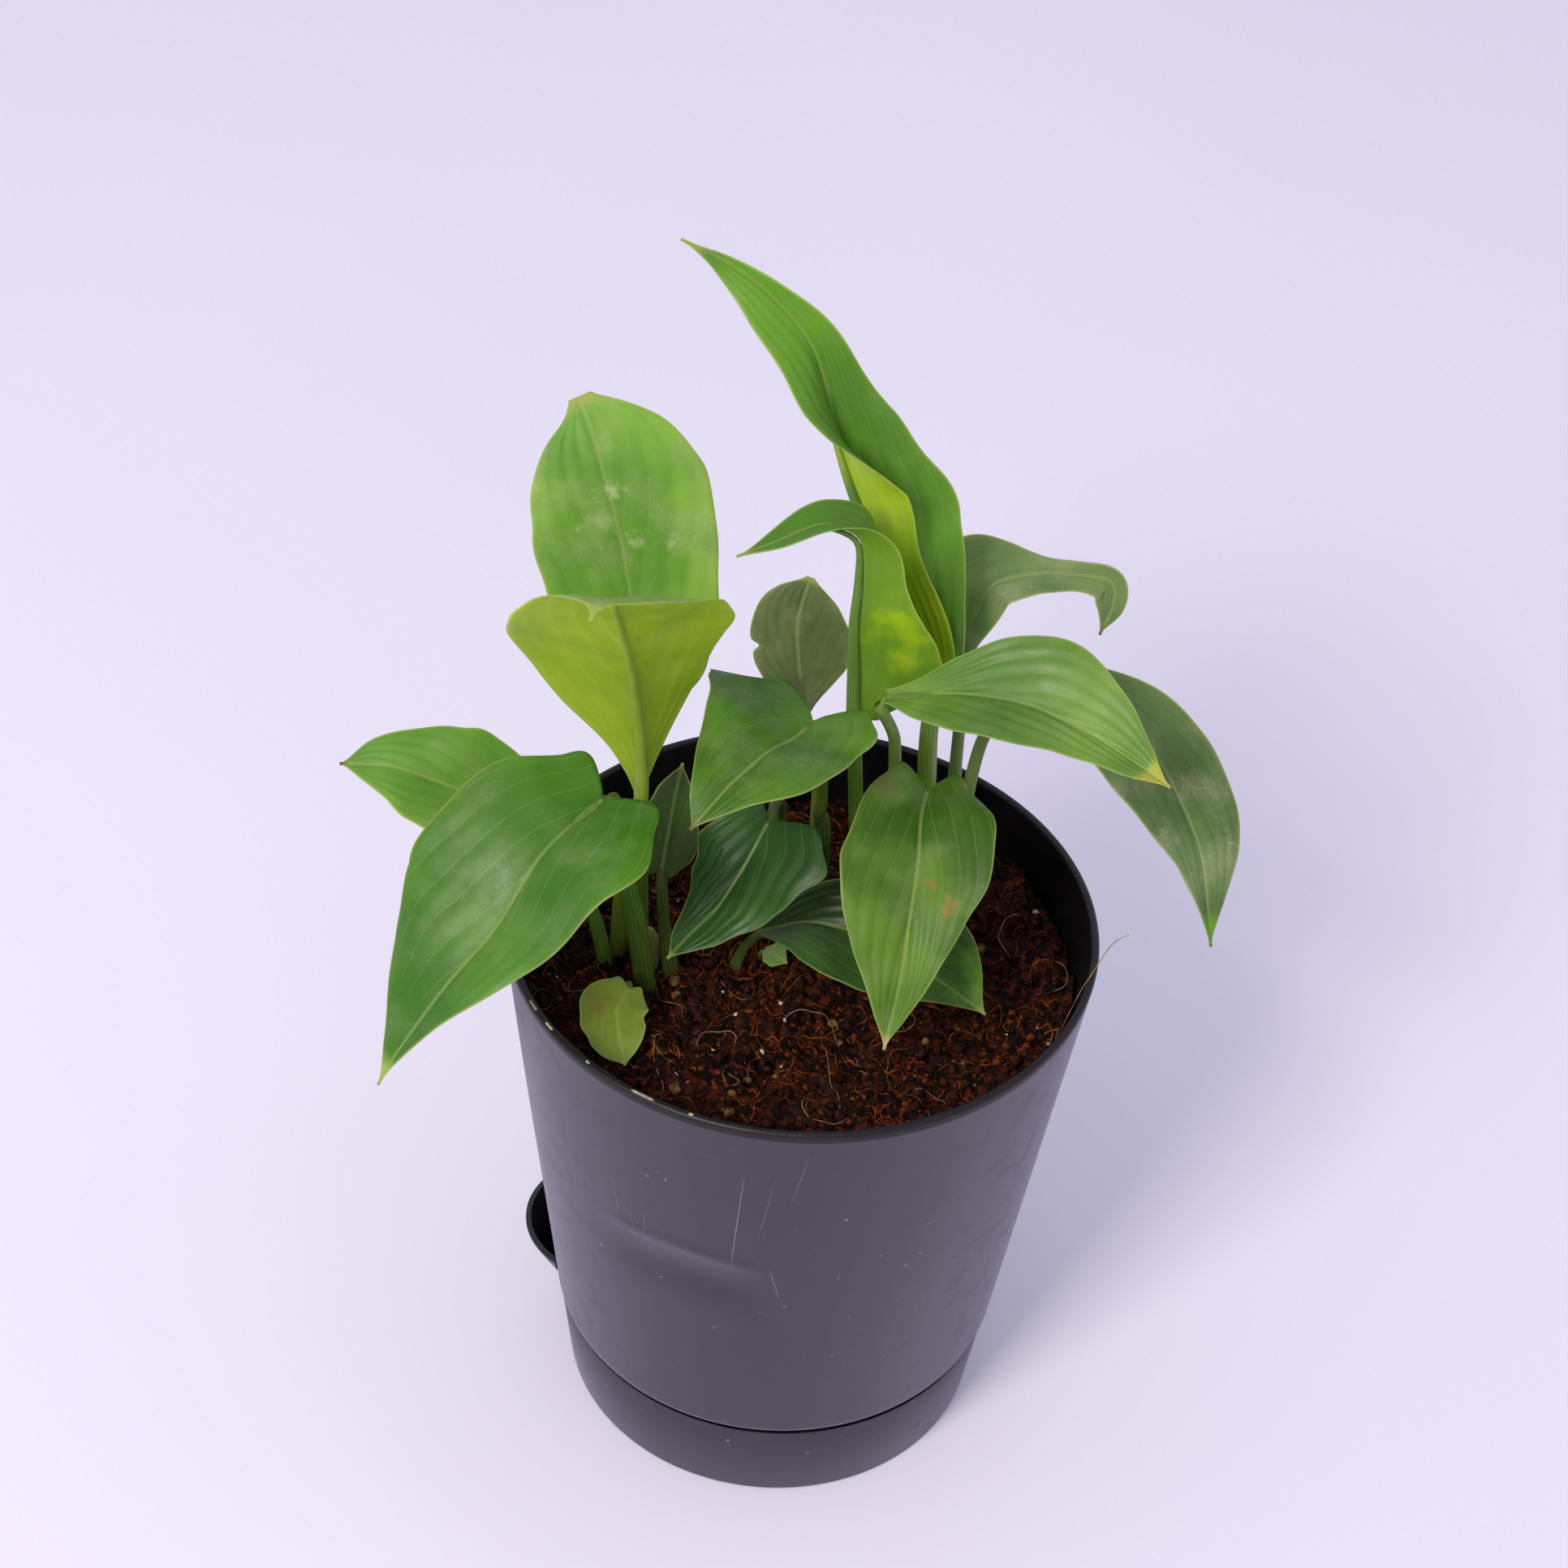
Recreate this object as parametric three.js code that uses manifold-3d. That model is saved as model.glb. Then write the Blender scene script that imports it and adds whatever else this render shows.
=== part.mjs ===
// Potted peace lily in a self-watering nursery pot.
// Millimetres, +Z up, the pot's axis on Z, the tray's underside on Z = 0.
// -Y is the front of the plant and +X its right-hand side.
import * as THREE from 'three';
import { mergeVertices } from 'three/addons/utils/BufferGeometryUtils.js';
import Module from 'manifold-3d';

const wasm = await Module();
wasm.setup();

// ---------- driving dimensions ----------

const GAP = 0.3;                    // clearance between pieces that rest on each other
const RIM_RADIUS = 65;              // outside of the planter at its rim
const RIM_HEIGHT = 137.5;
const SEAM_RADIUS = 52.2;           // outside of the planter at its lower edge
const SEAM_HEIGHT = 26;
const WALL = 2;
const FLOOR_TOP = 32.5;             // inside floor of the planter
const FLOOR_THICKNESS = 2.2;
const SKIRT_WALL = 1.6;             // thin skirt below the planter's floor

const TRAY_BASE_RADIUS = 48.7;
const TRAY_TOP_RADIUS = 51.2;       // just under the seam, inset from the planter
const TRAY_WALL = 2;
const TRAY_FLOOR = 2.4;
const NECK_RADIUS = 49.6;           // the tray's neck nests inside the skirt
const NECK_TOP = 29.6;

const SPOUT_ANGLE = 174;            // degrees round Z of the filling spout
const SPOUT_LIP = 31;               // height of its lip
const SPOUT_WALL = 1.8;

const BASKET_RADIUS = 17;           // perforated foot that wicks water up
const BASKET_BOTTOM = 3.2;
const BASKET_WALL = 1.6;
const BASKET_FLANGE = 21;
const BASKET_SLOTS = 8;
const SLOT_WIDTH = 3;

const SOIL_LEVEL = 120;             // mean height of the soil
const POCKET_GAP = 0.35;            // room round each stem where it enters the soil

const BLADE_THICKNESS = 0.6;
const BLADE_STATIONS = 11;
const BLADE_COLUMNS = 4;
const TIP_HALF_WIDTH = 0.35;
const LOBE_SHARE = 0.35;            // share of the blade that the heart-shaped base takes
const STALK_SIDES = 6;
const STALK_STEPS = 10;

const LATHE_SIDES = 48;

// ---------- materials ----------

const LEAF = { color: '#3f7d1f', roughness: 0.42, metalness: 0 };
const LEAF_YOUNG = { color: '#6f9a2a', roughness: 0.45, metalness: 0 };
const LEAF_SHADED = { color: '#2c5a22', roughness: 0.38, metalness: 0 };
const CROWN = { color: '#6a8a34', roughness: 0.55, metalness: 0 };
const POT_PLASTIC = { color: '#55525c', roughness: 0.6, metalness: 0 };
const TRAY_PLASTIC = { color: '#4d4b55', roughness: 0.58, metalness: 0 };
const BASKET_PLASTIC = { color: '#17171a', roughness: 0.55, metalness: 0 };
const SOIL = { color: '#2b1710', roughness: 0.95, metalness: 0 };

// ---------- the plant ----------
// Each leaf: stalk from the soil up to the blade, then the midrib from the blade's base to its
// tip. left and right are the widths of the two halves at even steps from base to tip, seen from
// the upper side with the tip up. lobe is how far the heart-shaped base reaches back past the
// stalk. face is the way the upper side looks. fold and curl are the degrees by which each half
// lifts off flat, at the midrib and on out to the margin. ripple is the height of the waves
// along the margin.

const LEAVES = [
  {
    name: 'leaf_tall', look: LEAF, foot: 2.8, neck: 2.0, lobe: 0, ripple: 0.8,
    stalk: [[26, 27, 112], [27, 26, 145], [26, 28, 168]],
    rib: [[26, 32, 179], [22, 33, 190], [15, 36, 203], [10, 39, 211], [4, 43, 222], [-1, 48, 233],
      [-7, 54, 248], [-16, 57, 258], [-26, 60, 264], [-36, 61, 268]],
    left: [5, 8, 8, 14, 16, 13, 9, 5, 0],
    right: [5, 10, 17, 18, 14, 9, 5, 2, 0],
    face: [[0.9, -0.45, 0.1], [0.9, -0.45, 0.1], [0.8, -0.55, 0.2], [0.4, -0.85, 0.35],
      [0.2, -0.9, 0.4], [0.2, -0.9, 0.4]],
    foldLeft: [75, 85, 85, 50, 18, 12], foldRight: [55, 50, 45, 25, 18, 12],
    curl: [10, 10, 0, -5, -10, -10],
  },
  {
    name: 'leaf_round', look: LEAF, foot: 1.7, neck: 1.3, lobe: 3, ripple: 0.5,
    stalk: [[-36, 10, 112], [-37, 13, 145]],
    rib: [[-38, 22, 175], [-41, 26, 198], [-45, 31, 216], [-48, 34, 225], [-52, 39, 235],
      [-55, 42, 240]],
    left: [7, 13, 16, 17, 18, 18, 16, 12, 1],
    right: [7, 14, 17, 19, 20, 21, 19, 12, 1],
    face: [[0.1, -0.95, 0.3], [0.1, -0.95, 0.3]],
    fold: [12, 8, 6], curl: [4, 0, -14],
  },
  {
    name: 'leaf_backlit', look: LEAF_YOUNG, foot: 1.8, neck: 1.5, lobe: 0, ripple: 0.8,
    stalk: [[-40.5, 5, 112], [-39, 2, 148]],
    rib: [[-36, -4, 172], [-36, -8, 190], [-37, -15, 210], [-38, -26, 229], [-39, -38, 246],
      [-39, -48, 257], [-41, -57, 263], [-42, -61, 262]],
    left: [1, 6, 14, 20, 22, 21, 17, 10, 0],
    right: [1, 7, 17, 24, 25, 22, 17, 10, 0],
    face: [[-0.25, 0.95, 0.2], [-0.2, 0.9, 0.4], [-0.1, 0.75, 0.65], [0, 0.6, 0.8]],
    fold: [24, 22, 14, 4], curl: [10, 6, -6, -20],
  },
  {
    name: 'leaf_broad_left', look: LEAF, foot: 1.9, neck: 1.5, lobe: 5, ripple: 0.6,
    stalk: [[-33, -6, 112], [-37, -9, 147], [-40, -10, 168]],
    rib: [[-43, -14, 179], [-54, -27, 174], [-62, -38, 163], [-71, -45, 153], [-81, -50, 137],
      [-85, -52, 129]],
    left: [15, 23, 21, 18, 13, 9, 5, 2, 0],
    right: [12, 20, 23, 24, 23, 18, 12, 5, 0],
    face: [[-0.2, -0.5, 0.85], [-0.4, -0.5, 0.8], [-0.6, -0.5, 0.6]],
    fold: [20, 16, 14], curl: [-4, -10, -10],
  },
  {
    name: 'leaf_left_back', look: LEAF, foot: 1.4, neck: 1.1, lobe: 3, ripple: 0.4,
    stalk: [[-41, -1, 112], [-45, -3, 137], [-53, -2, 151]],
    rib: [[-60, -2, 158], [-68, -1, 164], [-77, -1, 168], [-88, 0, 171], [-100, 0, 171]],
    left: [5, 10, 12, 13, 12, 11, 8, 4, 0],
    right: [5, 10, 13, 14, 13, 11, 8, 5, 0],
    face: [[0.1, -0.35, 0.93], [0, -0.4, 0.9], [0, -0.4, 0.9]],
    fold: [16, 14, 12], curl: [0, -6, -8],
  },
  {
    name: 'leaf_shaded_left', look: LEAF_SHADED, foot: 1.5, neck: 1.2, lobe: 2, ripple: 0.3,
    stalk: [[-27, -2, 112], [-30, -2, 135]],
    rib: [[-31, 1, 148], [-30, 4, 157], [-29, 7, 165], [-28, 9, 171]],
    left: [3, 5, 6, 6, 6, 5, 4, 2, 0],
    right: [3, 6, 7, 7, 6, 5, 4, 2, 0],
    face: [[0, -0.85, 0.5], [0, -0.85, 0.5]],
    fold: [14, 12, 10], curl: [0, -6, -8],
  },
  {
    name: 'leaf_small_front', look: LEAF_YOUNG, foot: 1.0, neck: 0.8, lobe: 1.5, ripple: 0.2,
    stalk: [[-38, -9, 112], [-37, -13, 126]],
    rib: [[-36, -18, 129], [-38, -23, 128], [-37, -29, 126], [-35, -35, 123]],
    left: [3, 6, 7, 7, 6, 6, 5, 3, 0],
    right: [4, 6, 8, 8, 8, 7, 6, 4, 0],
    face: [[0, -0.4, 0.9], [0, -0.5, 0.86]],
    fold: [12, 10, 8], curl: [0, 6, 10],
  },
  {
    name: 'leaf_heart', look: LEAF, foot: 1.5, neck: 1.2, lobe: 7, ripple: 0.6,
    stalk: [[3, 21, 112], [3, 21, 150], [1, 14, 178]],
    rib: [[-1, 6, 188], [-4, -2, 190], [-10, -12, 193], [-17, -20, 190], [-24, -27, 184]],
    left: [12, 16, 16, 16, 15, 12, 7, 3, 0],
    right: [14, 23, 23, 20, 16, 13, 9, 5, 0],
    face: [[0, -0.1, 1], [0, -0.15, 1], [-0.2, -0.4, 0.9]],
    fold: [20, 18, 14], curl: [-8, -14, -14],
  },
  {
    name: 'leaf_round_back', look: LEAF_SHADED, foot: 1.3, neck: 1.1, lobe: 1, ripple: 0.3,
    stalk: [[2, 35, 112], [1, 34, 145]],
    rib: [[-3, 30, 170], [-5, 33, 181], [-6, 37, 190], [-4, 41, 199]],
    left: [1, 4, 7, 9, 10, 10, 9, 6, 1],
    right: [1, 4, 8, 11, 12, 12, 11, 8, 1],
    face: [[-0.1, -0.8, 0.5], [-0.1, -0.75, 0.6]],
    fold: [14, 10, 8], curl: [6, 4, -8],
  },
  {
    name: 'leaf_glossy', look: LEAF_SHADED, foot: 1.4, neck: 1.1, lobe: 4, ripple: 0.4,
    stalk: [[-5, 28, 112], [-6, 22, 145], [-7, 10, 163]],
    rib: [[-9, 2, 162], [-13, -4, 155], [-18, -9, 147], [-24, -14, 142], [-28, -18, 139]],
    left: [14, 18, 15, 13, 11, 8, 6, 3, 0],
    right: [5, 10, 12, 10, 9, 7, 5, 3, 0],
    face: [[0, -0.3, 0.95], [-0.1, -0.45, 0.88], [-0.2, -0.5, 0.8]],
    fold: [18, 16, 12], curl: [-6, -12, -12],
  },
  {
    name: 'leaf_low', look: LEAF_SHADED, foot: 1.2, neck: 1.0, lobe: 1, ripple: 0.3,
    stalk: [[-16, -1, 112], [-13, 1, 125]],
    rib: [[-8, 1, 132], [2, -1, 137], [14, -5, 138], [27, -11, 135], [41, -18, 130]],
    left: [2, 6, 10, 12, 13, 14, 13, 8, 0],
    right: [2, 7, 12, 14, 14, 11, 7, 3, 0],
    face: [[0, -0.3, 0.95], [0, -0.35, 0.93], [0.1, -0.65, 0.75]],
    fold: [16, 14, 12], curl: [0, -4, -6],
  },
  {
    name: 'leaf_rolled', look: LEAF_YOUNG, foot: 2.0, neck: 1.6, lobe: 0, ripple: 0.3,
    stalk: [[16, 20, 112], [12, 20, 145], [10, 20, 166]],
    rib: [[9, 20, 178], [8, 20, 190], [7, 20, 203], [7, 21, 214], [6, 21, 224], [1, 20, 228],
      [-4, 18, 229], [-12, 14, 227], [-19, 10, 226]],
    left: [4, 17, 17, 14, 10, 9, 7, 4, 0],
    right: [4, 15, 17, 15, 12, 9, 6, 3, 0],
    face: [[0.8, 0.5, 0.1], [0.85, 0.5, 0.1], [0.85, 0.4, 0.3], [0.3, 0.2, 0.9], [0, 0, 1]],
    fold: [50, 50, 40, 22, 14], curl: [10, 10, 10, 0, 0],
  },
  {
    name: 'leaf_right', look: LEAF, foot: 1.6, neck: 1.3, lobe: 0, ripple: 0.6,
    stalk: [[19, 14, 112], [18, 14, 150], [17, 15, 177]],
    rib: [[14, 14, 189], [30, 10, 195], [44, 5, 197], [56, 0, 195], [65, -5, 193], [73, -10, 191]],
    left: [2, 4, 8, 13, 16, 14, 10, 5, 0],
    right: [2, 9, 14, 17, 16, 11, 8, 5, 0],
    face: [[0.05, -0.35, 0.94], [0.05, -0.35, 0.94], [0.2, -0.5, 0.85]],
    fold: [30, 30, 22], curl: [0, -6, -6],
  },
  {
    name: 'leaf_back_right', look: LEAF, foot: 1.6, neck: 1.3, lobe: 0, ripple: 0.6,
    stalk: [[31, 25, 112], [31, 34, 145], [31, 42, 170]],
    rib: [[31, 45, 181], [33, 47, 189], [36, 49, 195], [44, 51, 197], [53, 52, 197],
      [61, 52, 196], [62, 50, 191], [60, 47, 185]],
    left: [5, 14, 14, 8, 4, 3, 3, 3, 0],
    right: [3, 5, 6, 6, 5, 4, 5, 4, 0],
    face: [[-0.4, -0.75, 0.5], [0, -0.55, 0.83], [0.1, -0.6, 0.8], [0.3, -0.95, 0.1]],
    fold: [16, 16, 14], curl: [0, -6, -6],
  },
  {
    name: 'leaf_drooping', look: LEAF, foot: 1.6, neck: 1.3, lobe: 0, ripple: 0.6,
    stalk: [[31, 17, 112], [34, 22, 160], [38, 24, 179]],
    rib: [[48, 26, 189], [57, 23, 189], [66, 19, 185], [73, 14, 178], [79, 9, 170], [83, 5, 163],
      [85, 1, 157], [88, -6, 144]],
    left: [2, 5, 8, 11, 12, 11, 8, 4, 0],
    right: [2, 10, 15, 15, 13, 10, 7, 3, 0],
    face: [[0, -0.4, 0.9], [0.3, -0.55, 0.75], [0.5, -0.75, 0.4]],
    fold: [18, 16, 20], curl: [-4, -8, -8],
  },
  {
    name: 'leaf_front', look: LEAF, foot: 1.7, neck: 1.4, lobe: 5, ripple: 0.6,
    stalk: [[24, 12, 112], [25, 8, 145], [25, 4, 168]],
    rib: [[24, 0, 176], [23, -8, 175], [23, -17, 170], [22, -27, 163], [21, -35, 154],
      [19, -43, 142]],
    left: [8, 15, 16, 15, 12, 9, 6, 3, 0],
    right: [9, 13, 16, 17, 15, 12, 8, 4, 0],
    face: [[0.05, -0.3, 0.95], [0.05, -0.5, 0.85], [0.05, -0.75, 0.6]],
    fold: [22, 20, 16], curl: [-8, -12, -12],
  },
  {
    name: 'seedling', look: LEAF_YOUNG, foot: 0.6, neck: 0.5, lobe: 0.4, ripple: 0,
    stalk: [[-9, 4, 115], [-8.8, 3.8, 122]],
    rib: [[-7.5, 3, 123.8], [-6, 2, 124], [-4.5, 1, 123.8], [-2.5, 0, 123.3]],
    left: [1, 2, 3, 3, 3, 3, 2, 1, 0],
    right: [1, 2, 3, 3, 3, 3, 2, 1, 0],
    face: [[0, -0.3, 0.95], [0, -0.3, 0.95]],
    fold: [8, 8, 8], curl: [0, 0, 0],
  },
];

// Short stems at soil level that the leaf stalks crowd round: centre, radius, height above soil.
const CROWNS = [
  { name: 'crown_left', at: [-34.2, 1.6], radius: 3.4, rise: 9 },
  { name: 'crown_centre', at: [2, 28], radius: 3.2, rise: 8 },
  { name: 'crown_right', at: [24, 19.6], radius: 3.4, rise: 10 },
];

// ---------- small helpers ----------

function rad(degrees) {
  return degrees * Math.PI / 180;
}

function material({ color, roughness, metalness }) {
  return new THREE.MeshStandardMaterial({ color, roughness, metalness });
}

function curveThrough(points) {
  const vectors = points.map(([x, y, z]) => new THREE.Vector3(x, y, z));
  return new THREE.CatmullRomCurve3(vectors, false, 'catmullrom', 0.5);
}

// Value at share s of a list that is spread evenly from 0 to 1.
function along(list, s) {
  const place = Math.min(Math.max(s, 0), 1) * (list.length - 1);
  const i = Math.min(Math.floor(place), list.length - 2);
  return list[i] + (list[i + 1] - list[i]) * (place - i);
}

function vectorAlong(list, s) {
  const part = (axis) => along(list.map((v) => v[axis]), s);
  return new THREE.Vector3(part(0), part(1), part(2));
}

// ---------- solids ----------

function toSolid(geometry) {
  const g = geometry.clone();
  g.deleteAttribute('normal');
  g.deleteAttribute('uv');
  const merged = mergeVertices(g, 1e-4);
  return new wasm.Manifold(new wasm.Mesh({
    numProp: 3,
    vertProperties: new Float32Array(merged.attributes.position.array),
    triVerts: new Uint32Array(merged.index.array),
  }));
}

function toGeometry(solid) {
  const mesh = solid.getMesh();
  const g = new THREE.BufferGeometry();
  g.setAttribute('position', new THREE.BufferAttribute(new Float32Array(mesh.vertProperties), 3));
  g.setIndex(new THREE.BufferAttribute(new Uint32Array(mesh.triVerts), 1));
  const flat = g.toNonIndexed();
  flat.computeVertexNormals();
  return flat;
}

function lathe(profile, sides = LATHE_SIDES) {
  const g = new THREE.LatheGeometry(profile.map(([r, z]) => new THREE.Vector2(r, z)), sides);
  g.rotateX(Math.PI / 2);
  return toSolid(g);
}

// Closed loft through rings of points; every ring has the same number of points.
function loft(rings) {
  const count = rings[0].length;
  const positions = [];
  const index = [];
  rings.forEach((ring) => ring.forEach((p) => positions.push(p.x, p.y, p.z)));
  for (let i = 0; i + 1 < rings.length; i += 1) {
    for (let j = 0; j < count; j += 1) {
      const a = i * count + j;
      const b = i * count + (j + 1) % count;
      index.push(a, b, b + count, a, b + count, a + count);
    }
  }
  const last = (rings.length - 1) * count;
  for (let j = 1; j + 1 < count; j += 1) {
    index.push(0, j + 1, j);
    index.push(last, last + j, last + j + 1);
  }
  const g = new THREE.BufferGeometry();
  g.setAttribute('position', new THREE.Float32BufferAttribute(positions, 3));
  g.setIndex(index);
  return toSolid(g);
}

function ringRound(centre, side, up, radius, sides) {
  return Array.from({ length: sides }, (_, j) => {
    const a = 2 * Math.PI * j / sides;
    return centre.clone()
      .addScaledVector(side, radius * Math.cos(a))
      .addScaledVector(up, radius * Math.sin(a));
  });
}

// Round bar along a curve; radius(s) gives its size from start to end.
function bar(curve, steps, radius, sides = STALK_SIDES, lift = () => new THREE.Vector3()) {
  const rings = [];
  for (let i = 0; i <= steps; i += 1) {
    const s = i / steps;
    const tangent = curve.getTangentAt(s);
    const side = new THREE.Vector3(1, 0.2, 0).cross(tangent).normalize();
    const up = tangent.clone().cross(side);
    const centre = curve.getPointAt(s).add(lift(s));
    rings.push(ringRound(centre, side, up, radius(s), sides));
  }
  return loft(rings);
}

// ---------- leaf ----------

// Smooth curve through a list that is spread evenly from 0 to 1.
function smoothAlong(list, s) {
  const place = Math.min(Math.max(s, 0), 1) * (list.length - 1);
  const i = Math.min(Math.floor(place), list.length - 2);
  const k = place - i;
  const before = list[Math.max(i - 1, 0)];
  const after = list[Math.min(i + 2, list.length - 1)];
  const rise0 = (list[i + 1] - before) / 2;
  const rise1 = (after - list[i]) / 2;
  const gap = list[i + 1] - list[i];
  return list[i] + rise0 * k + (3 * gap - 2 * rise0 - rise1) * k * k
    + (rise0 + rise1 - 2 * gap) * k * k * k;
}

function halfWidth(leaf, s, t) {
  return Math.max(smoothAlong(t < 0 ? leaf.left : leaf.right, s), TIP_HALF_WIDTH);
}

function foldList(leaf, t) {
  return (t < 0 ? leaf.foldLeft : leaf.foldRight) ?? leaf.fold;
}

// Point on the blade's middle surface at share s of the length and share t of the half width.
function bladePoint(leaf, curve, s, t) {
  const tangent = curve.getTangentAt(s);
  const face = vectorAlong(leaf.face, s);
  face.addScaledVector(tangent, -face.dot(tangent)).normalize();
  const side = tangent.clone().cross(face);
  const reach = Math.abs(t) * halfWidth(leaf, s, t);
  const fold = rad(along(foldList(leaf, t), s));
  const curl = rad(along(leaf.curl, s)) * Math.abs(t);
  const out = reach * Math.cos(fold + curl / 2);
  const rise = reach * Math.sin(fold + curl / 2)
    + leaf.ripple * t * t * Math.sin(14 * s + 2 * t) * Math.sin(Math.PI * s);
  const roundLobe = 1.5 * Math.abs(t) ** 0.8 * (1 - 0.75 * Math.abs(t) ** 5);
  const back = leaf.lobe * roundLobe * Math.max(1 - s / LOBE_SHARE, 0) ** 2;
  return curve.getPointAt(s)
    .addScaledVector(side, Math.sign(t) * out)
    .addScaledVector(face, rise)
    .addScaledVector(tangent, -back);
}

function bladeNormal(leaf, curve, s, t) {
  const step = 0.02;
  const s0 = Math.max(s - step, 0);
  const s1 = Math.min(s + step, 1);
  const t0 = Math.max(t - 0.1, -1);
  const t1 = Math.min(t + 0.1, 1);
  const down = bladePoint(leaf, curve, s1, t).sub(bladePoint(leaf, curve, s0, t));
  const across = bladePoint(leaf, curve, s, t1).sub(bladePoint(leaf, curve, s, t0));
  return across.cross(down).normalize();
}

function blade(leaf, curve) {
  const rings = [];
  for (let i = 0; i <= BLADE_STATIONS; i += 1) {
    const s = i / BLADE_STATIONS;
    const top = [];
    const under = [];
    for (let j = 0; j <= BLADE_COLUMNS; j += 1) {
      const t = 2 * j / BLADE_COLUMNS - 1;
      const centre = bladePoint(leaf, curve, s, t);
      const normal = bladeNormal(leaf, curve, s, t);
      top.push(centre.clone().addScaledVector(normal, BLADE_THICKNESS / 2));
      under.unshift(centre.clone().addScaledVector(normal, -BLADE_THICKNESS / 2));
    }
    rings.push([...top, ...under]);
  }
  return loft(rings);
}

function stalkCurve(leaf) {
  return curveThrough([...leaf.stalk, leaf.rib[0], leaf.rib[1]]);
}

function leafSolid(leaf) {
  const rib = curveThrough(leaf.rib);
  const whole = curveThrough([...leaf.stalk, ...leaf.rib]);
  const end = 0.82;
  const join = curveThrough(leaf.stalk.concat([leaf.rib[0]])).getLength() / whole.getLength();
  const radius = (s) => {
    if (s * end < join) {
      return leaf.foot + (leaf.neck - leaf.foot) * s * end / join;
    }
    return leaf.neck + (0.5 - leaf.neck) * (s * end - join) / (end - join);
  };
  const face = (s) => vectorAlong(leaf.face, Math.max(s * end - join, 0) / (1 - join));
  const lift = (s) => face(s).normalize().multiplyScalar(-0.8 * radius(s));
  const shortened = new THREE.CatmullRomCurve3(
    Array.from({ length: 25 }, (_, i) => whole.getPointAt(i / 24 * end)),
    false,
    'catmullrom',
    0.5,
  );
  const stem = bar(shortened, STALK_STEPS, radius, STALK_SIDES, lift);
  return blade(leaf, rib).add(stem);
}

// The hollow that a stalk fills in the soil.
function stalkPocket(leaf) {
  const curve = stalkCurve(leaf);
  const length = curve.getLength();
  const depth = Math.min(14 / length, 0.9);
  const points = [-0.5, 0, 0.5, 1].map((k) => {
    const at = curve.getPointAt(Math.max(k, 0) * depth);
    return k < 0 ? at.addScaledVector(curve.getTangentAt(0), -POCKET_GAP) : at;
  });
  const lifted = points.map((p) => {
    const face = vectorAlong(leaf.face, 0).normalize();
    return p.addScaledVector(face, -0.8 * leaf.foot);
  });
  const path = new THREE.CatmullRomCurve3(lifted, false, 'catmullrom', 0.5);
  return bar(path, 3, () => leaf.foot * 1.1 + POCKET_GAP, 6);
}

// ---------- crowns ----------

function crownSolid(crown, extra = 0) {
  const r = crown.radius + extra;
  const foot = SOIL_LEVEL - 8 - extra;
  const top = SOIL_LEVEL + crown.rise + extra;
  const profile = [[0, foot], [r * 0.8, foot], [r, foot + 3], [r * 0.95, top - 5],
    [r * 0.55, top - 1], [0, top]];
  return lathe(profile, 10).translate([crown.at[0], crown.at[1], 0]);
}

// ---------- soil ----------

function wallRadius(z) {
  const slope = (RIM_RADIUS - SEAM_RADIUS) / (RIM_HEIGHT - SEAM_HEIGHT);
  return SEAM_RADIUS + (z - SEAM_HEIGHT) * slope;
}

function soilHeight(x, y) {
  const swell = 1.3 * Math.sin(0.09 * x + 1.2) * Math.cos(0.08 * y - 0.4);
  const lumps = 0.6 * Math.sin(0.31 * x - 0.22 * y) + 0.5 * Math.cos(0.27 * y + 0.19 * x);
  const edge = Math.hypot(x, y) / 60;
  return SOIL_LEVEL + swell + lumps - 0.5 * edge ** 4;
}

function soilSolid() {
  const sides = 36;
  const ringAt = (radius, height) => Array.from({ length: sides }, (_, j) => {
    const a = 2 * Math.PI * j / sides;
    const x = radius * Math.cos(a);
    const y = radius * Math.sin(a);
    return new THREE.Vector3(x, y, height(x, y));
  });
  const edgeRadius = wallRadius(SOIL_LEVEL - 4) - WALL - 0.5;
  const bottom = FLOOR_TOP + GAP;
  const rings = [
    ringAt(2, () => bottom),
    ringAt(wallRadius(bottom) - WALL - 0.5, () => bottom),
    ringAt(edgeRadius, soilHeight),
  ];
  [52, 43, 33, 22, 11, 1].forEach((radius) => rings.push(ringAt(radius, soilHeight)));
  const plugRadius = BASKET_RADIUS - BASKET_WALL - GAP - 0.6;
  const plugFoot = BASKET_BOTTOM + BASKET_WALL + GAP;
  const plug = lathe([[0, plugFoot], [plugRadius - 1, plugFoot], [plugRadius, bottom + 2],
    [0, bottom + 2]], 32);
  const flangeRoom = lathe([[0, FLOOR_TOP - 1], [BASKET_FLANGE + GAP, FLOOR_TOP - 1],
    [BASKET_FLANGE + GAP, FLOOR_TOP + 1.6 + 2 * GAP], [0, FLOOR_TOP + 1.6 + 2 * GAP]], 32);
  const throat = lathe([[0, FLOOR_TOP - 2], [plugRadius, FLOOR_TOP - 2],
    [plugRadius, FLOOR_TOP + 8], [0, FLOOR_TOP + 8]], 32);
  let soil = loft(rings).subtract(flangeRoom).add(throat).add(plug);
  CROWNS.forEach((crown) => {
    soil = soil.subtract(crownSolid(crown, POCKET_GAP));
  });
  LEAVES.forEach((leaf) => {
    soil = soil.subtract(stalkPocket(leaf));
  });
  return soil;
}

// ---------- pot ----------

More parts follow.
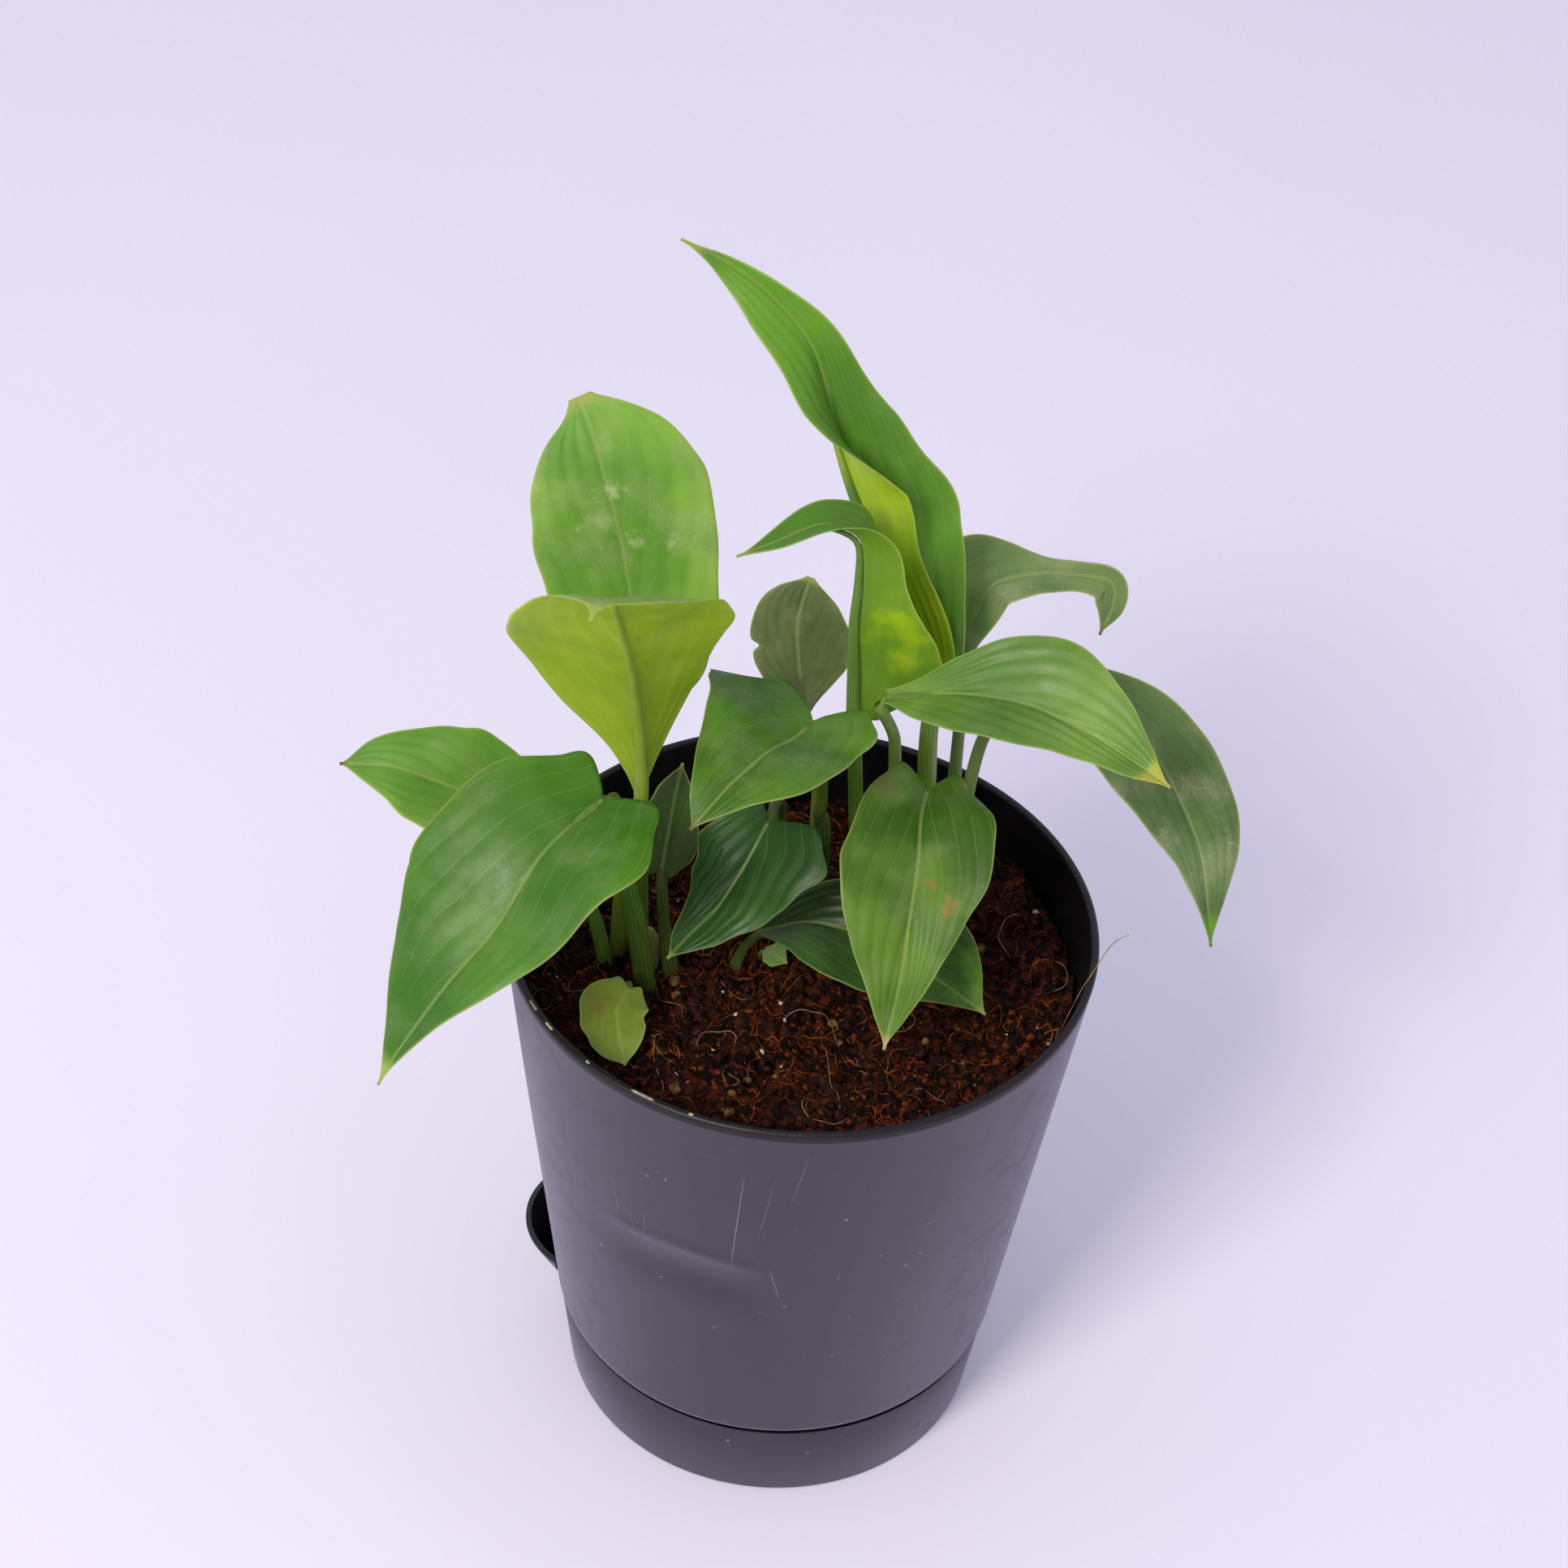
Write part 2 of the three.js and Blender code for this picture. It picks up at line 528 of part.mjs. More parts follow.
function planterSolid() {
  const floorUnder = FLOOR_TOP - FLOOR_THICKNESS;
  const hole = BASKET_RADIUS + GAP;
  const profile = [
    [hole, floorUnder],
    [wallRadius(floorUnder) - SKIRT_WALL, floorUnder],
    [wallRadius(SEAM_HEIGHT) - SKIRT_WALL, SEAM_HEIGHT],
    [SEAM_RADIUS, SEAM_HEIGHT],
    [SEAM_RADIUS + 0.3, SEAM_HEIGHT + 1],
    [RIM_RADIUS, RIM_HEIGHT - 1],
    [RIM_RADIUS - 0.5, RIM_HEIGHT],
    [RIM_RADIUS - WALL + 0.4, RIM_HEIGHT],
    [RIM_RADIUS - WALL, RIM_HEIGHT - 1],
    [wallRadius(FLOOR_TOP) - WALL, FLOOR_TOP],
    [hole, FLOOR_TOP],
    [hole, floorUnder],
  ];
  return lathe(profile);
}

// Round spout that leans out from the tray; grow shrinks or widens it all round.
function spoutCone(grow, foot, top) {
  const share = (z) => (z - 6) / (SPOUT_LIP - 6);
  const ring = (z) => {
    const out = 37 + 5 * share(z);
    const r = 10 + 9 * share(z) + grow;
    const a = rad(SPOUT_ANGLE);
    const centre = new THREE.Vector3(out * Math.cos(a), out * Math.sin(a), z);
    return ringRound(centre, new THREE.Vector3(1, 0, 0), new THREE.Vector3(0, 1, 0), r, 32);
  };
  return loft([ring(foot), ring((foot + top) / 2), ring(top)]);
}

function traySolid() {
  const shell = lathe([
    [0, 0],
    [TRAY_BASE_RADIUS - 0.8, 0],
    [TRAY_BASE_RADIUS, 0.8],
    [TRAY_TOP_RADIUS, SEAM_HEIGHT - GAP],
    [NECK_RADIUS, SEAM_HEIGHT - GAP],
    [NECK_RADIUS, NECK_TOP],
    [NECK_RADIUS - TRAY_WALL, NECK_TOP],
    [TRAY_BASE_RADIUS - TRAY_WALL, TRAY_FLOOR],
    [0, TRAY_FLOOR],
  ]);
  const cavity = lathe([
    [0, TRAY_FLOOR],
    [TRAY_BASE_RADIUS - TRAY_WALL, TRAY_FLOOR],
    [NECK_RADIUS - TRAY_WALL, NECK_TOP],
    [NECK_RADIUS - TRAY_WALL, 40],
    [0, 40],
  ]);
  const clearance = lathe([
    [0, SEAM_HEIGHT - GAP],
    [SEAM_RADIUS + GAP, SEAM_HEIGHT - GAP],
    [wallRadius(40) + GAP + 0.1, 40],
    [0, 40],
  ]);
  const spout = spoutCone(0, 6, SPOUT_LIP)
    .subtract(cavity)
    .subtract(clearance);
  return shell.add(spout).subtract(spoutCone(-SPOUT_WALL, 8, SPOUT_LIP + 1));
}

function basketSolid() {
  const cup = lathe([
    [0, BASKET_BOTTOM],
    [BASKET_RADIUS - 1, BASKET_BOTTOM],
    [BASKET_RADIUS, FLOOR_TOP - FLOOR_THICKNESS],
    [BASKET_RADIUS, FLOOR_TOP + GAP],
    [BASKET_FLANGE, FLOOR_TOP + GAP],
    [BASKET_FLANGE, FLOOR_TOP + GAP + 1.6],
    [BASKET_RADIUS - BASKET_WALL, FLOOR_TOP + GAP + 1.6],
    [BASKET_RADIUS - BASKET_WALL - 1, BASKET_BOTTOM + BASKET_WALL],
    [0, BASKET_BOTTOM + BASKET_WALL],
  ], 32);
  let basket = cup;
  for (let i = 0; i < BASKET_SLOTS; i += 1) {
    const slot = wasm.Manifold.cube([8, SLOT_WIDTH, 16], true)
      .translate([BASKET_RADIUS - 1, 0, BASKET_BOTTOM + 12])
      .rotate([0, 0, 360 * (i + 0.5) / BASKET_SLOTS]);
    basket = basket.subtract(slot);
  }
  return basket;
}

// ---------- assembly ----------

const group = new THREE.Group();
group.name = 'potted_peace_lily';

function addPiece(name, solid, look) {
  const mesh = new THREE.Mesh(toGeometry(solid), material(look));
  mesh.name = name;
  group.add(mesh);
}

addPiece('planter', planterSolid(), POT_PLASTIC);
addPiece('reservoir_tray', traySolid(), TRAY_PLASTIC);
addPiece('wick_basket', basketSolid(), BASKET_PLASTIC);
addPiece('soil', soilSolid(), SOIL);
CROWNS.forEach((crown) => addPiece(crown.name, crownSolid(crown), CROWN));
LEAVES.forEach((leaf) => addPiece(leaf.name, leafSolid(leaf), leaf.look));

export default group;
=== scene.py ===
import math
import random

import bpy
import numpy as np
from mathutils import Matrix, Vector


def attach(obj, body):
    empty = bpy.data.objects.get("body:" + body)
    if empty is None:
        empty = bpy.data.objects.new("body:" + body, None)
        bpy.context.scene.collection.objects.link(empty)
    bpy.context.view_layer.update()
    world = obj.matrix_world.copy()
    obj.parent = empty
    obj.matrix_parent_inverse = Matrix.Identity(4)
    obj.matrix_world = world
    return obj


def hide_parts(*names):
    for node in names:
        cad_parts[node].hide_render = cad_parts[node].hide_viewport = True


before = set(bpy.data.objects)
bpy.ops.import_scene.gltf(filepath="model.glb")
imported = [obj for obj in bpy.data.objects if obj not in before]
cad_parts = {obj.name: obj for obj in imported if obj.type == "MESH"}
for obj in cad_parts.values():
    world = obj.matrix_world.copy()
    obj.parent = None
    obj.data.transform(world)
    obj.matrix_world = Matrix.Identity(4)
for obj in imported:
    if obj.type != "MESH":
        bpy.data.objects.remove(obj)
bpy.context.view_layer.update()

# Potted peace lily: thin quilted leaves on channelled stalks, damp coir compost and a matt
# grey-mauve self-watering pot. Shapes are worked out in millimetres and built in metres.

MM = 0.001

# ---------- sizes, in millimetres ----------

RIM_RADIUS = 65.0
RIM_HEIGHT = 137.5
SEAM_RADIUS = 52.2
SEAM_HEIGHT = 26.0
WALL = 2.0
FLOOR_TOP = 32.5
FLOOR_UNDER = 30.3
SKIRT_WALL = 1.6
TRAY_BASE_RADIUS = 48.7
TRAY_TOP_RADIUS = 51.2
TRAY_WALL = 2.0
TRAY_FLOOR = 2.4
NECK_RADIUS = 49.6
NECK_TOP = 29.6
GAP = 0.3
SHOULDER_DROP = 1.6
SPOUT_ANGLE = 174.0
SPOUT_LIP = 31.0
SPOUT_WALL = 1.8
SPOUT_FOOT = 6
SPOUT_SIDES = 96
BASKET_RADIUS = 17.0
SOIL_LEVEL = 120.0
POT_SIDES = 240
SOIL_REACH = 59.0          # how far out crumbs lie
FIBRE_REACH = 57.0         # how far out a loose fibre may start
FIBRE_STOP = 59.5          # where the wall turns it back
FIBRE_STEPS = 8

BLADE_THICKNESS = 0.36
BLADE_STATIONS = 110
BLADE_COLUMNS = 44
LOBE_SHARE = 0.35
TIP_HALF_WIDTH = 0.35
VEIN_COUNT = 3.6
VEIN_LEAN = 1.1
QUILT = 0.42               # how far the blade swells between two veins
RIB_GROOVE = 0.25
VEIN_SPAN = 20.0           # vein counts that one width of the veins map holds
MARGIN_WAVE = 0.012        # share of the width by which an even margin still wavers
STALK_SIDES = 18
STALK_STEPS = 70
SHEATH_SPREAD = 0.35
MIDRIB_END = 0.97          # share of the whole length
MIDRIB_TIP_RADIUS = 0.22

# ---------- the plant ----------
# Each leaf: stalk from the compost up to the blade, then the midrib from base to tip. left and
# right are half widths at even steps from base to tip, lobe is how far the heart-shaped base
# reaches back, face is the way the upper side looks, fold and curl are degrees off flat.

LEAVES = [
    dict(
        name="leaf_tall", look="mature_leaf", foot=2.8, neck=2.0, lobe=0, ripple=0.8, wavy=0.035,
        stalk=[[26, 27, 112], [27, 26, 145], [26, 28, 168]],
        rib=[[26, 32, 179], [22, 33, 190], [15, 36, 203], [10, 39, 211], [4, 43, 222],
             [-1, 48, 233], [-7, 54, 248], [-16, 57, 258], [-26, 60, 264], [-36, 61, 268]],
        left=[5, 8, 8, 14, 16, 13, 9, 5, 0],
        right=[5, 10, 17, 18, 14, 9, 5, 2, 0],
        face=[[0.9, -0.45, 0.1], [0.9, -0.45, 0.1], [0.8, -0.55, 0.2], [0.4, -0.85, 0.35],
             [0.2, -0.9, 0.4], [0.2, -0.9, 0.4]],
        fold_left=[75, 85, 85, 50, 18, 12], fold_right=[55, 50, 45, 25, 18, 12],
        curl=[10, 10, 0, -5, -10, -10],
    ),
    dict(
        name="leaf_round", look="mature_leaf", foot=1.7, neck=1.3, lobe=3, ripple=0.5,
        stalk=[[-36, 10, 112], [-37, 13, 145]],
        rib=[[-38, 22, 175], [-41, 26, 198], [-45, 31, 216], [-48, 34, 225], [-52, 39, 235],
             [-55, 42, 240]],
        left=[7, 13, 16, 17, 18, 18, 16, 11, 2],
        right=[7, 14, 17, 19, 20, 21, 20, 15, 3],
        face=[[0.1, -0.95, 0.3], [0.1, -0.95, 0.3]],
        fold=[12, 8, 6], curl=[4, 0, -14],
    ),
    dict(
        name="leaf_backlit", look="young_leaf", foot=1.8, neck=1.5, lobe=0, ripple=0.8,
        stalk=[[-40.5, 5, 112], [-39, 2, 148]],
        rib=[[-36, -4, 172], [-36, -8, 190], [-37, -15, 210], [-38, -26, 229], [-39, -38, 246],
             [-39, -48, 257], [-41, -57, 263], [-42, -61, 262]],
        left=[1, 6, 14, 20, 22, 21, 17, 10, 0],
        right=[1, 7, 17, 24, 25, 22, 17, 10, 0],
        face=[[-0.25, 0.95, 0.2], [-0.2, 0.9, 0.4], [-0.1, 0.75, 0.65], [0, 0.6, 0.8]],
        fold=[24, 22, 14, 4], curl=[10, 6, -6, -20],
    ),
    dict(
        name="leaf_broad_left", look="mature_leaf", foot=1.9, neck=1.5, lobe=5, ripple=0.6,
        stalk=[[-33, -6, 112], [-37, -9, 147], [-40, -10, 168]],
        rib=[[-43, -14, 179], [-54, -27, 174], [-62, -38, 163], [-71, -45, 153], [-81, -50, 137],
             [-85, -52, 129]],
        left=[15, 23, 21, 18, 13, 9, 5, 2, 0],
        right=[12, 20, 23, 24, 23, 18, 12, 5, 0],
        face=[[-0.2, -0.5, 0.85], [-0.4, -0.5, 0.8], [-0.6, -0.5, 0.6]],
        fold=[20, 16, 14], curl=[-4, -10, -10],
    ),
    dict(
        name="leaf_left_back", look="mature_leaf", foot=1.4, neck=1.1, lobe=3, ripple=0.4,
        stalk=[[-41, -1, 112], [-45, -3, 137], [-53, -2, 151]],
        rib=[[-60, -2, 158], [-68, -1, 164], [-77, -1, 168], [-88, 0, 171], [-100, 0, 171]],
        left=[5, 10, 12, 13, 12, 11, 8, 4, 0],
        right=[5, 10, 13, 14, 13, 11, 8, 5, 0],
        face=[[0.1, -0.35, 0.93], [0, -0.4, 0.9], [0, -0.4, 0.9]],
        fold=[16, 14, 12], curl=[0, -6, -8],
    ),
    dict(
        name="leaf_shaded_left", look="shaded_leaf", foot=1.5, neck=1.2, lobe=2, ripple=0.3,
        stalk=[[-27, -2, 112], [-30, -2, 135]],
        rib=[[-31, 1, 148], [-30, 4, 157], [-29, 7, 165], [-28, 9, 171]],
        left=[3, 5, 6, 6, 6, 5, 4, 2, 0],
        right=[3, 6, 7, 7, 6, 5, 4, 2, 0],
        face=[[0, -0.85, 0.5], [0, -0.85, 0.5]],
        fold=[14, 12, 10], curl=[0, -6, -8],
    ),
    dict(
        name="leaf_small_front", look="young_leaf", foot=1.0, neck=0.8, lobe=1.5, ripple=0.2,
        stalk=[[-38, -9, 112], [-37, -13, 126]],
        rib=[[-36, -18, 129], [-38, -23, 128], [-37, -29, 126], [-35, -35, 123]],
        left=[3, 6, 7, 7, 6, 6, 5, 3, 0],
        right=[4, 6, 8, 8, 8, 7, 6, 4, 0],
        face=[[0, -0.4, 0.9], [0, -0.5, 0.86]],
        fold=[12, 10, 8], curl=[0, 6, 10],
    ),
    dict(
        name="leaf_heart", look="mature_leaf", foot=1.5, neck=1.2, lobe=7, ripple=0.6,
        stalk=[[3, 21, 112], [3, 21, 150], [1, 14, 178]],
        rib=[[-1, 6, 188], [-4, -2, 190], [-10, -12, 193], [-17, -20, 190], [-24, -27, 184]],
        left=[12, 16, 16, 16, 15, 12, 7, 3, 0],
        right=[14, 23, 23, 20, 16, 13, 9, 5, 0],
        face=[[0, -0.1, 1], [0, -0.15, 1], [-0.2, -0.4, 0.9]],
        fold=[20, 18, 14], curl=[-8, -14, -14],
    ),
    dict(
        name="leaf_round_back", look="shaded_leaf", foot=1.3, neck=1.1, lobe=1, ripple=0.3,
        nicks=[(-1, 0.53, 1.6, 0.025)],
        stalk=[[2, 35, 112], [1, 34, 145]],
        rib=[[-3, 30, 170], [-5, 33, 181], [-6, 37, 190], [-4, 41, 199]],
        left=[1, 4, 7, 9, 10, 10, 9, 6, 1],
        right=[1, 4, 8, 11, 12, 12, 11, 8, 1],
        face=[[-0.1, -0.8, 0.5], [-0.1, -0.75, 0.6]],
        fold=[14, 10, 8], curl=[6, 4, -8],
    ),
    dict(
        name="leaf_glossy", look="shaded_leaf", foot=1.4, neck=1.1, lobe=4, ripple=0.4,
        stalk=[[-5, 28, 112], [-6, 22, 145], [-7, 10, 163]],
        rib=[[-9, 2, 162], [-13, -4, 155], [-18, -9, 147], [-24, -14, 142], [-28, -18, 139]],
        left=[14, 18, 15, 13, 11, 8, 6, 3, 0],
        right=[5, 10, 12, 10, 9, 7, 5, 3, 0],
        face=[[0, -0.3, 0.95], [-0.1, -0.45, 0.88], [-0.2, -0.5, 0.8]],
        fold=[18, 16, 12], curl=[-6, -12, -12],
    ),
    dict(
        name="leaf_low", look="shaded_leaf", foot=1.2, neck=1.0, lobe=1, ripple=0.3,
        stalk=[[-16, -1, 112], [-13, 1, 125]],
        rib=[[-8, 1, 132], [2, -1, 137], [14, -5, 138], [27, -11, 135], [41, -18, 130]],
        left=[2, 6, 10, 12, 13, 14, 13, 8, 0],
        right=[2, 7, 12, 14, 14, 11, 7, 3, 0],
        face=[[0, -0.3, 0.95], [0, -0.35, 0.93], [0.1, -0.65, 0.75]],
        fold=[16, 14, 12], curl=[0, -4, -6],
    ),
    dict(
        name="leaf_rolled", look="young_leaf", foot=2.0, neck=1.6, lobe=0, ripple=0.3,
        stalk=[[16, 20, 112], [12, 20, 145], [10, 20, 166]],
        rib=[[9, 20, 178], [8, 20, 190], [7, 20, 203], [7, 21, 214], [6, 21, 224], [1, 20, 228],
             [-4, 18, 229], [-12, 14, 227], [-19, 10, 226]],
        left=[4, 17, 17, 14, 10, 9, 7, 4, 0],
        right=[4, 15, 17, 15, 12, 9, 6, 3, 0],
        face=[[0.8, 0.5, 0.1], [0.85, 0.5, 0.1], [0.85, 0.4, 0.3], [0.3, 0.2, 0.9], [0, 0, 1]],
        fold=[50, 50, 40, 22, 14], curl=[10, 10, 10, 0, 0],
    ),
    dict(
        name="leaf_right", look="mature_leaf", foot=1.6, neck=1.3, lobe=0, ripple=0.6,
        stalk=[[19, 14, 112], [18, 14, 150], [17, 15, 177]],
        rib=[[14, 14, 189], [30, 10, 195], [44, 5, 197], [56, 0, 195], [65, -5, 193],
        [73, -10, 191]], left=[2, 4, 8, 13, 16, 14, 10, 5, 0],
        right=[2, 9, 14, 17, 16, 11, 8, 5, 0],
        face=[[0.05, -0.35, 0.94], [0.05, -0.35, 0.94], [0.2, -0.5, 0.85]],
        fold=[30, 30, 22], curl=[0, -6, -6],
    ),
    dict(
        name="leaf_back_right", look="mature_leaf", foot=1.6, neck=1.3, lobe=0, ripple=0.6,
        stalk=[[31, 25, 112], [31, 34, 145], [31, 42, 170]],
        rib=[[31, 45, 181], [33, 47, 189], [36, 49, 195], [44, 51, 197], [53, 52, 197],
             [61, 52, 196], [62, 50, 191], [60, 47, 185]],
        left=[5, 14, 14, 8, 4, 3, 3, 3, 0],
        right=[3, 5, 6, 6, 5, 4, 5, 4, 0],
        face=[[-0.4, -0.75, 0.5], [0, -0.55, 0.83], [0.1, -0.6, 0.8], [0.3, -0.95, 0.1]],
        fold=[16, 16, 14], curl=[0, -6, -6],
    ),
    dict(
        name="leaf_drooping", look="mature_leaf", foot=1.6, neck=1.3, lobe=0, ripple=0.6,
        stalk=[[31, 17, 112], [34, 22, 160], [38, 24, 179]],
        rib=[[48, 26, 189], [57, 23, 189], [66, 19, 185], [73, 14, 178], [79, 9, 170], [83, 5, 163],
             [85, 1, 157], [88, -6, 144]],
        left=[2, 5, 8, 11, 12, 11, 8, 4, 0],
        right=[2, 10, 15, 15, 13, 10, 7, 3, 0],
        face=[[0, -0.4, 0.9], [0.3, -0.55, 0.75], [0.5, -0.75, 0.4]],
        fold=[18, 16, 20], curl=[-4, -8, -8],
    ),
    dict(
        name="leaf_front", look="mature_leaf", foot=1.7, neck=1.4, lobe=5, ripple=0.6,
        stalk=[[24, 12, 112], [25, 8, 145], [25, 4, 168]],
        rib=[[24, 0, 176], [23, -8, 175], [23, -17, 170], [22, -27, 163], [21, -35, 154],
             [19, -43, 142]],
        left=[8, 15, 16, 15, 12, 9, 6, 3, 0],
        right=[9, 13, 16, 17, 15, 12, 8, 4, 0],
        face=[[0.05, -0.3, 0.95], [0.05, -0.5, 0.85], [0.05, -0.75, 0.6]],
        fold=[22, 20, 16], curl=[-8, -12, -12],
    ),
    dict(
        name="seedling", look="young_leaf", foot=0.6, neck=0.5, lobe=0.4, ripple=0,
        stalk=[[-9, 4, 115], [-8.8, 3.8, 122]],
        rib=[[-7.5, 3, 123.8], [-6, 2, 124], [-4.5, 1, 123.8], [-2.5, 0, 123.3]],
        left=[1, 2, 3, 3, 3, 3, 2, 1, 0],
        right=[1, 2, 3, 3, 3, 3, 2, 1, 0],
        face=[[0, -0.3, 0.95], [0, -0.3, 0.95]],
        fold=[8, 8, 8], curl=[0, 0, 0],
    ),
]

# centre, radius, height above the compost
CROWNS = [
    ("crown_left", (-34.2, 1.6), 3.4, 9.0),
    ("crown_centre", (2.0, 28.0), 3.2, 8.0),
    ("crown_right", (24.0, 19.6), 3.4, 10.0),
]

# Colours of each leaf: deep and light green of the upper side, underside, tip.
# tip_from is the share of the length where the tip starts to turn, dust how grey it looks.
SKIN = dict(deep="#3d6a1c", light="#5f9030", under="#7f9c36", tip="#8f9c4a", tip_from=0.96,
            dust=0.1, gloss=0.4, glow=0.3)
SKINS = {
    "leaf_tall": dict(deep="#42721a", light="#5c8e22", under="#a0be1c", glow=0.4, dust=0.04),
    "leaf_round": dict(deep="#578a2a", light="#7aa63c", dust=0.22, gloss=0.46),
    "leaf_backlit": dict(deep="#6c8a1e", light="#62821c", under="#93ac24", glow=0.5,
                         dust=0.05),
    "leaf_broad_left": dict(deep="#336612", light="#4a7a22", tip="#8fa850", tip_from=0.92),
    "leaf_left_back": dict(deep="#4c7e20", light="#6c9a36", tip="#6a3a1c", tip_from=0.97),
    # Greens darkened for a leaf in shade: painted shade.
    "leaf_shaded_left": dict(deep="#2c430c", light="#3a5816", dust=0.03),
    "leaf_small_front": dict(deep="#566c1c", light="#7c942c", tip="#8a6a34", tip_from=0.98),
    "leaf_heart": dict(deep="#34600f", light="#52821e", tip="#6e5630", tip_from=0.965),
    "leaf_round_back": dict(deep="#485a2c", light="#667648", dust=0.25, gloss=0.5),
    # Greens darkened for a leaf in shade: painted shade.
    "leaf_glossy": dict(deep="#193e0d", light="#275516", dust=0.0, gloss=0.36),
    # Greens darkened for a leaf in shade: painted shade.
    "leaf_low": dict(deep="#203a0e", light="#35601a", dust=0.02),
    "leaf_rolled": dict(deep="#44741a", light="#5c8a24", under="#6a9022", glow=0.45,
                        dust=0.03),
    "leaf_right": dict(deep="#4a7626", light="#70943c", tip="#a0a640", tip_from=0.9),
    "leaf_back_right": dict(deep="#52703c", light="#728854", tip="#6a4a3a", tip_from=0.97,
                            dust=0.2, gloss=0.36),
    "leaf_drooping": dict(deep="#455f32", light="#627e46", tip="#5c8a24", tip_from=0.9,
                          dust=0.3),
    "leaf_front": dict(deep="#2e5408", light="#557c1a", tip="#b0a468", tip_from=0.95),
    "seedling": dict(deep="#5a7c38", light="#789a54", dust=0.0, glow=0.5),
}
# Blemishes of a leaf, and on a few leaves a patch of painted light or painted sheen: colour, place,
# radius and strength.
STAINS_AND_PAINTED_LIGHT = {
    "leaf_front": [("#94612a", (26, -20.8, 168.7), 1.8, 0.7),
                   ("#9a6a30", (30.3, -25, 166.9), 3.0, 0.65),
                   ("#6c6a44", (15, -2.3, 179.7), 6.0, 0.5),
                   ("#6a6238", (31.1, -0.8, 177.6), 3.0, 0.4)],
    # Bright green patch at the tip of a leaf otherwise coloured as in shade: painted light.
    "leaf_low": [("#6a9c26", (40, -15, 133), 12, 0.9)],
    "leaf_small_front": [("#7a5a2c", (-41.8, -23.1, 128.8), 4.5, 0.5)],
    # Bright yellow-green patch where sun falls on the rolled leaf: painted light.
    "leaf_rolled": [("#9cb80c", (17.5, 19, 203.2), 9.0, 0.8)],
    "leaf_round": [("#c4c8a0", (-46.5, 33.4, 223.7), 2.2, 0.45),
                   ("#b4be8c", (-49, 30.6, 217.6), 5.0, 0.35),
                   ("#c4c8a0", (-41.1, 30.1, 213.4), 2.6, 0.4),
                   ("#b4be8c", (-33.3, 29.7, 213.5), 2.4, 0.35)],
    # Grey spot on the folded-over tip: painted sheen, a painted reflection.
    "leaf_backlit": [("#8d9488", (-41.5, -54.7, 261.9), 2.6, 0.6)],
}

# ---------- curves and lists ----------


def path_points(points, shares):
    """Points and directions at even shares of the length of a smooth curve through points."""
    p = np.array(points, float)
    wide = np.vstack([2 * p[0] - p[1], p, 2 * p[-1] - p[-2]])
    count = len(p) - 1
    u = np.linspace(0, count, 80 * count + 1)
    i = np.minimum(u.astype(int), count - 1)
    k = (u - i)[:, None]
    a, b, c, d = wide[i], wide[i + 1], wide[i + 2], wide[i + 3]
    dense = b + 0.5 * k * (c - a + k * (2 * a - 5 * b + 4 * c - d + k * (3 * (b - c) + d - a)))
    run = np.concatenate([[0], np.cumsum(np.linalg.norm(np.diff(dense, axis=0), axis=1))])
    heading = np.gradient(dense, axis=0)
    at = np.asarray(shares) * run[-1]
    place = np.stack([np.interp(at, run, dense[:, n]) for n in range(3)], 1)
    along = np.stack([np.interp(at, run, heading[:, n]) for n in range(3)], 1)
    return place, unit(along), run[-1]


def unit(v):
    return v / np.maximum(np.linalg.norm(v, axis=-1, keepdims=True), 1e-9)


def straight(values, s):
    """Value at share s of a list that is spread evenly from 0 to 1."""
    return np.interp(np.clip(s, 0, 1), np.linspace(0, 1, len(values)), values)


def rounded(values, s):
    """The same along a smooth curve through the list."""
    v = np.array(values, float)
    place = np.clip(s, 0, 1) * (len(v) - 1)
    i = np.minimum(place.astype(int), len(v) - 2)
    k = place - i
    before, after = v[np.maximum(i - 1, 0)], v[np.minimum(i + 2, len(v) - 1)]
    rise0, rise1, gap = (v[i + 1] - before) / 2, (after - v[i]) / 2, v[i + 1] - v[i]
    return (v[i] + rise0 * k + (3 * gap - 2 * rise0 - rise1) * k ** 2
            + (rise0 + rise1 - 2 * gap) * k ** 3)


def facing(leaf, s, heading):
    """Direction of the leaf's upper side at share s, square to the heading."""
    raw = np.stack([straight([f[n] for f in leaf["face"]], s) for n in range(3)], -1)
    return unit(raw - heading * np.sum(raw * heading, -1, keepdims=True))


def half_width(leaf, s, t):
    """Width from midrib to margin, with its waves and nicks."""
    wide = np.where(t < 0, rounded(leaf["left"], s), rounded(leaf["right"], s))
    seed = len(leaf["name"])
    wavy = leaf.get("wavy", MARGIN_WAVE)
    wide = wide * (1 + wavy * np.sin(31 * s + seed + t) * np.sin(np.pi * s))
    for side, place, depth, width in leaf.get("nicks", []):
        wide = wide - depth * np.exp(-((s - place) / width) ** 2) * (np.sign(t) == side)
    return np.maximum(wide, TIP_HALF_WIDTH)


def fold_at(leaf, s, t):
    """Angle by which the left or right half stands up from flat."""
    left = straight(leaf.get("fold_left", leaf.get("fold")), s)
    right = straight(leaf.get("fold_right", leaf.get("fold")), s)
    return np.radians(np.where(t < 0, left, right))


# ---------- meshes ----------


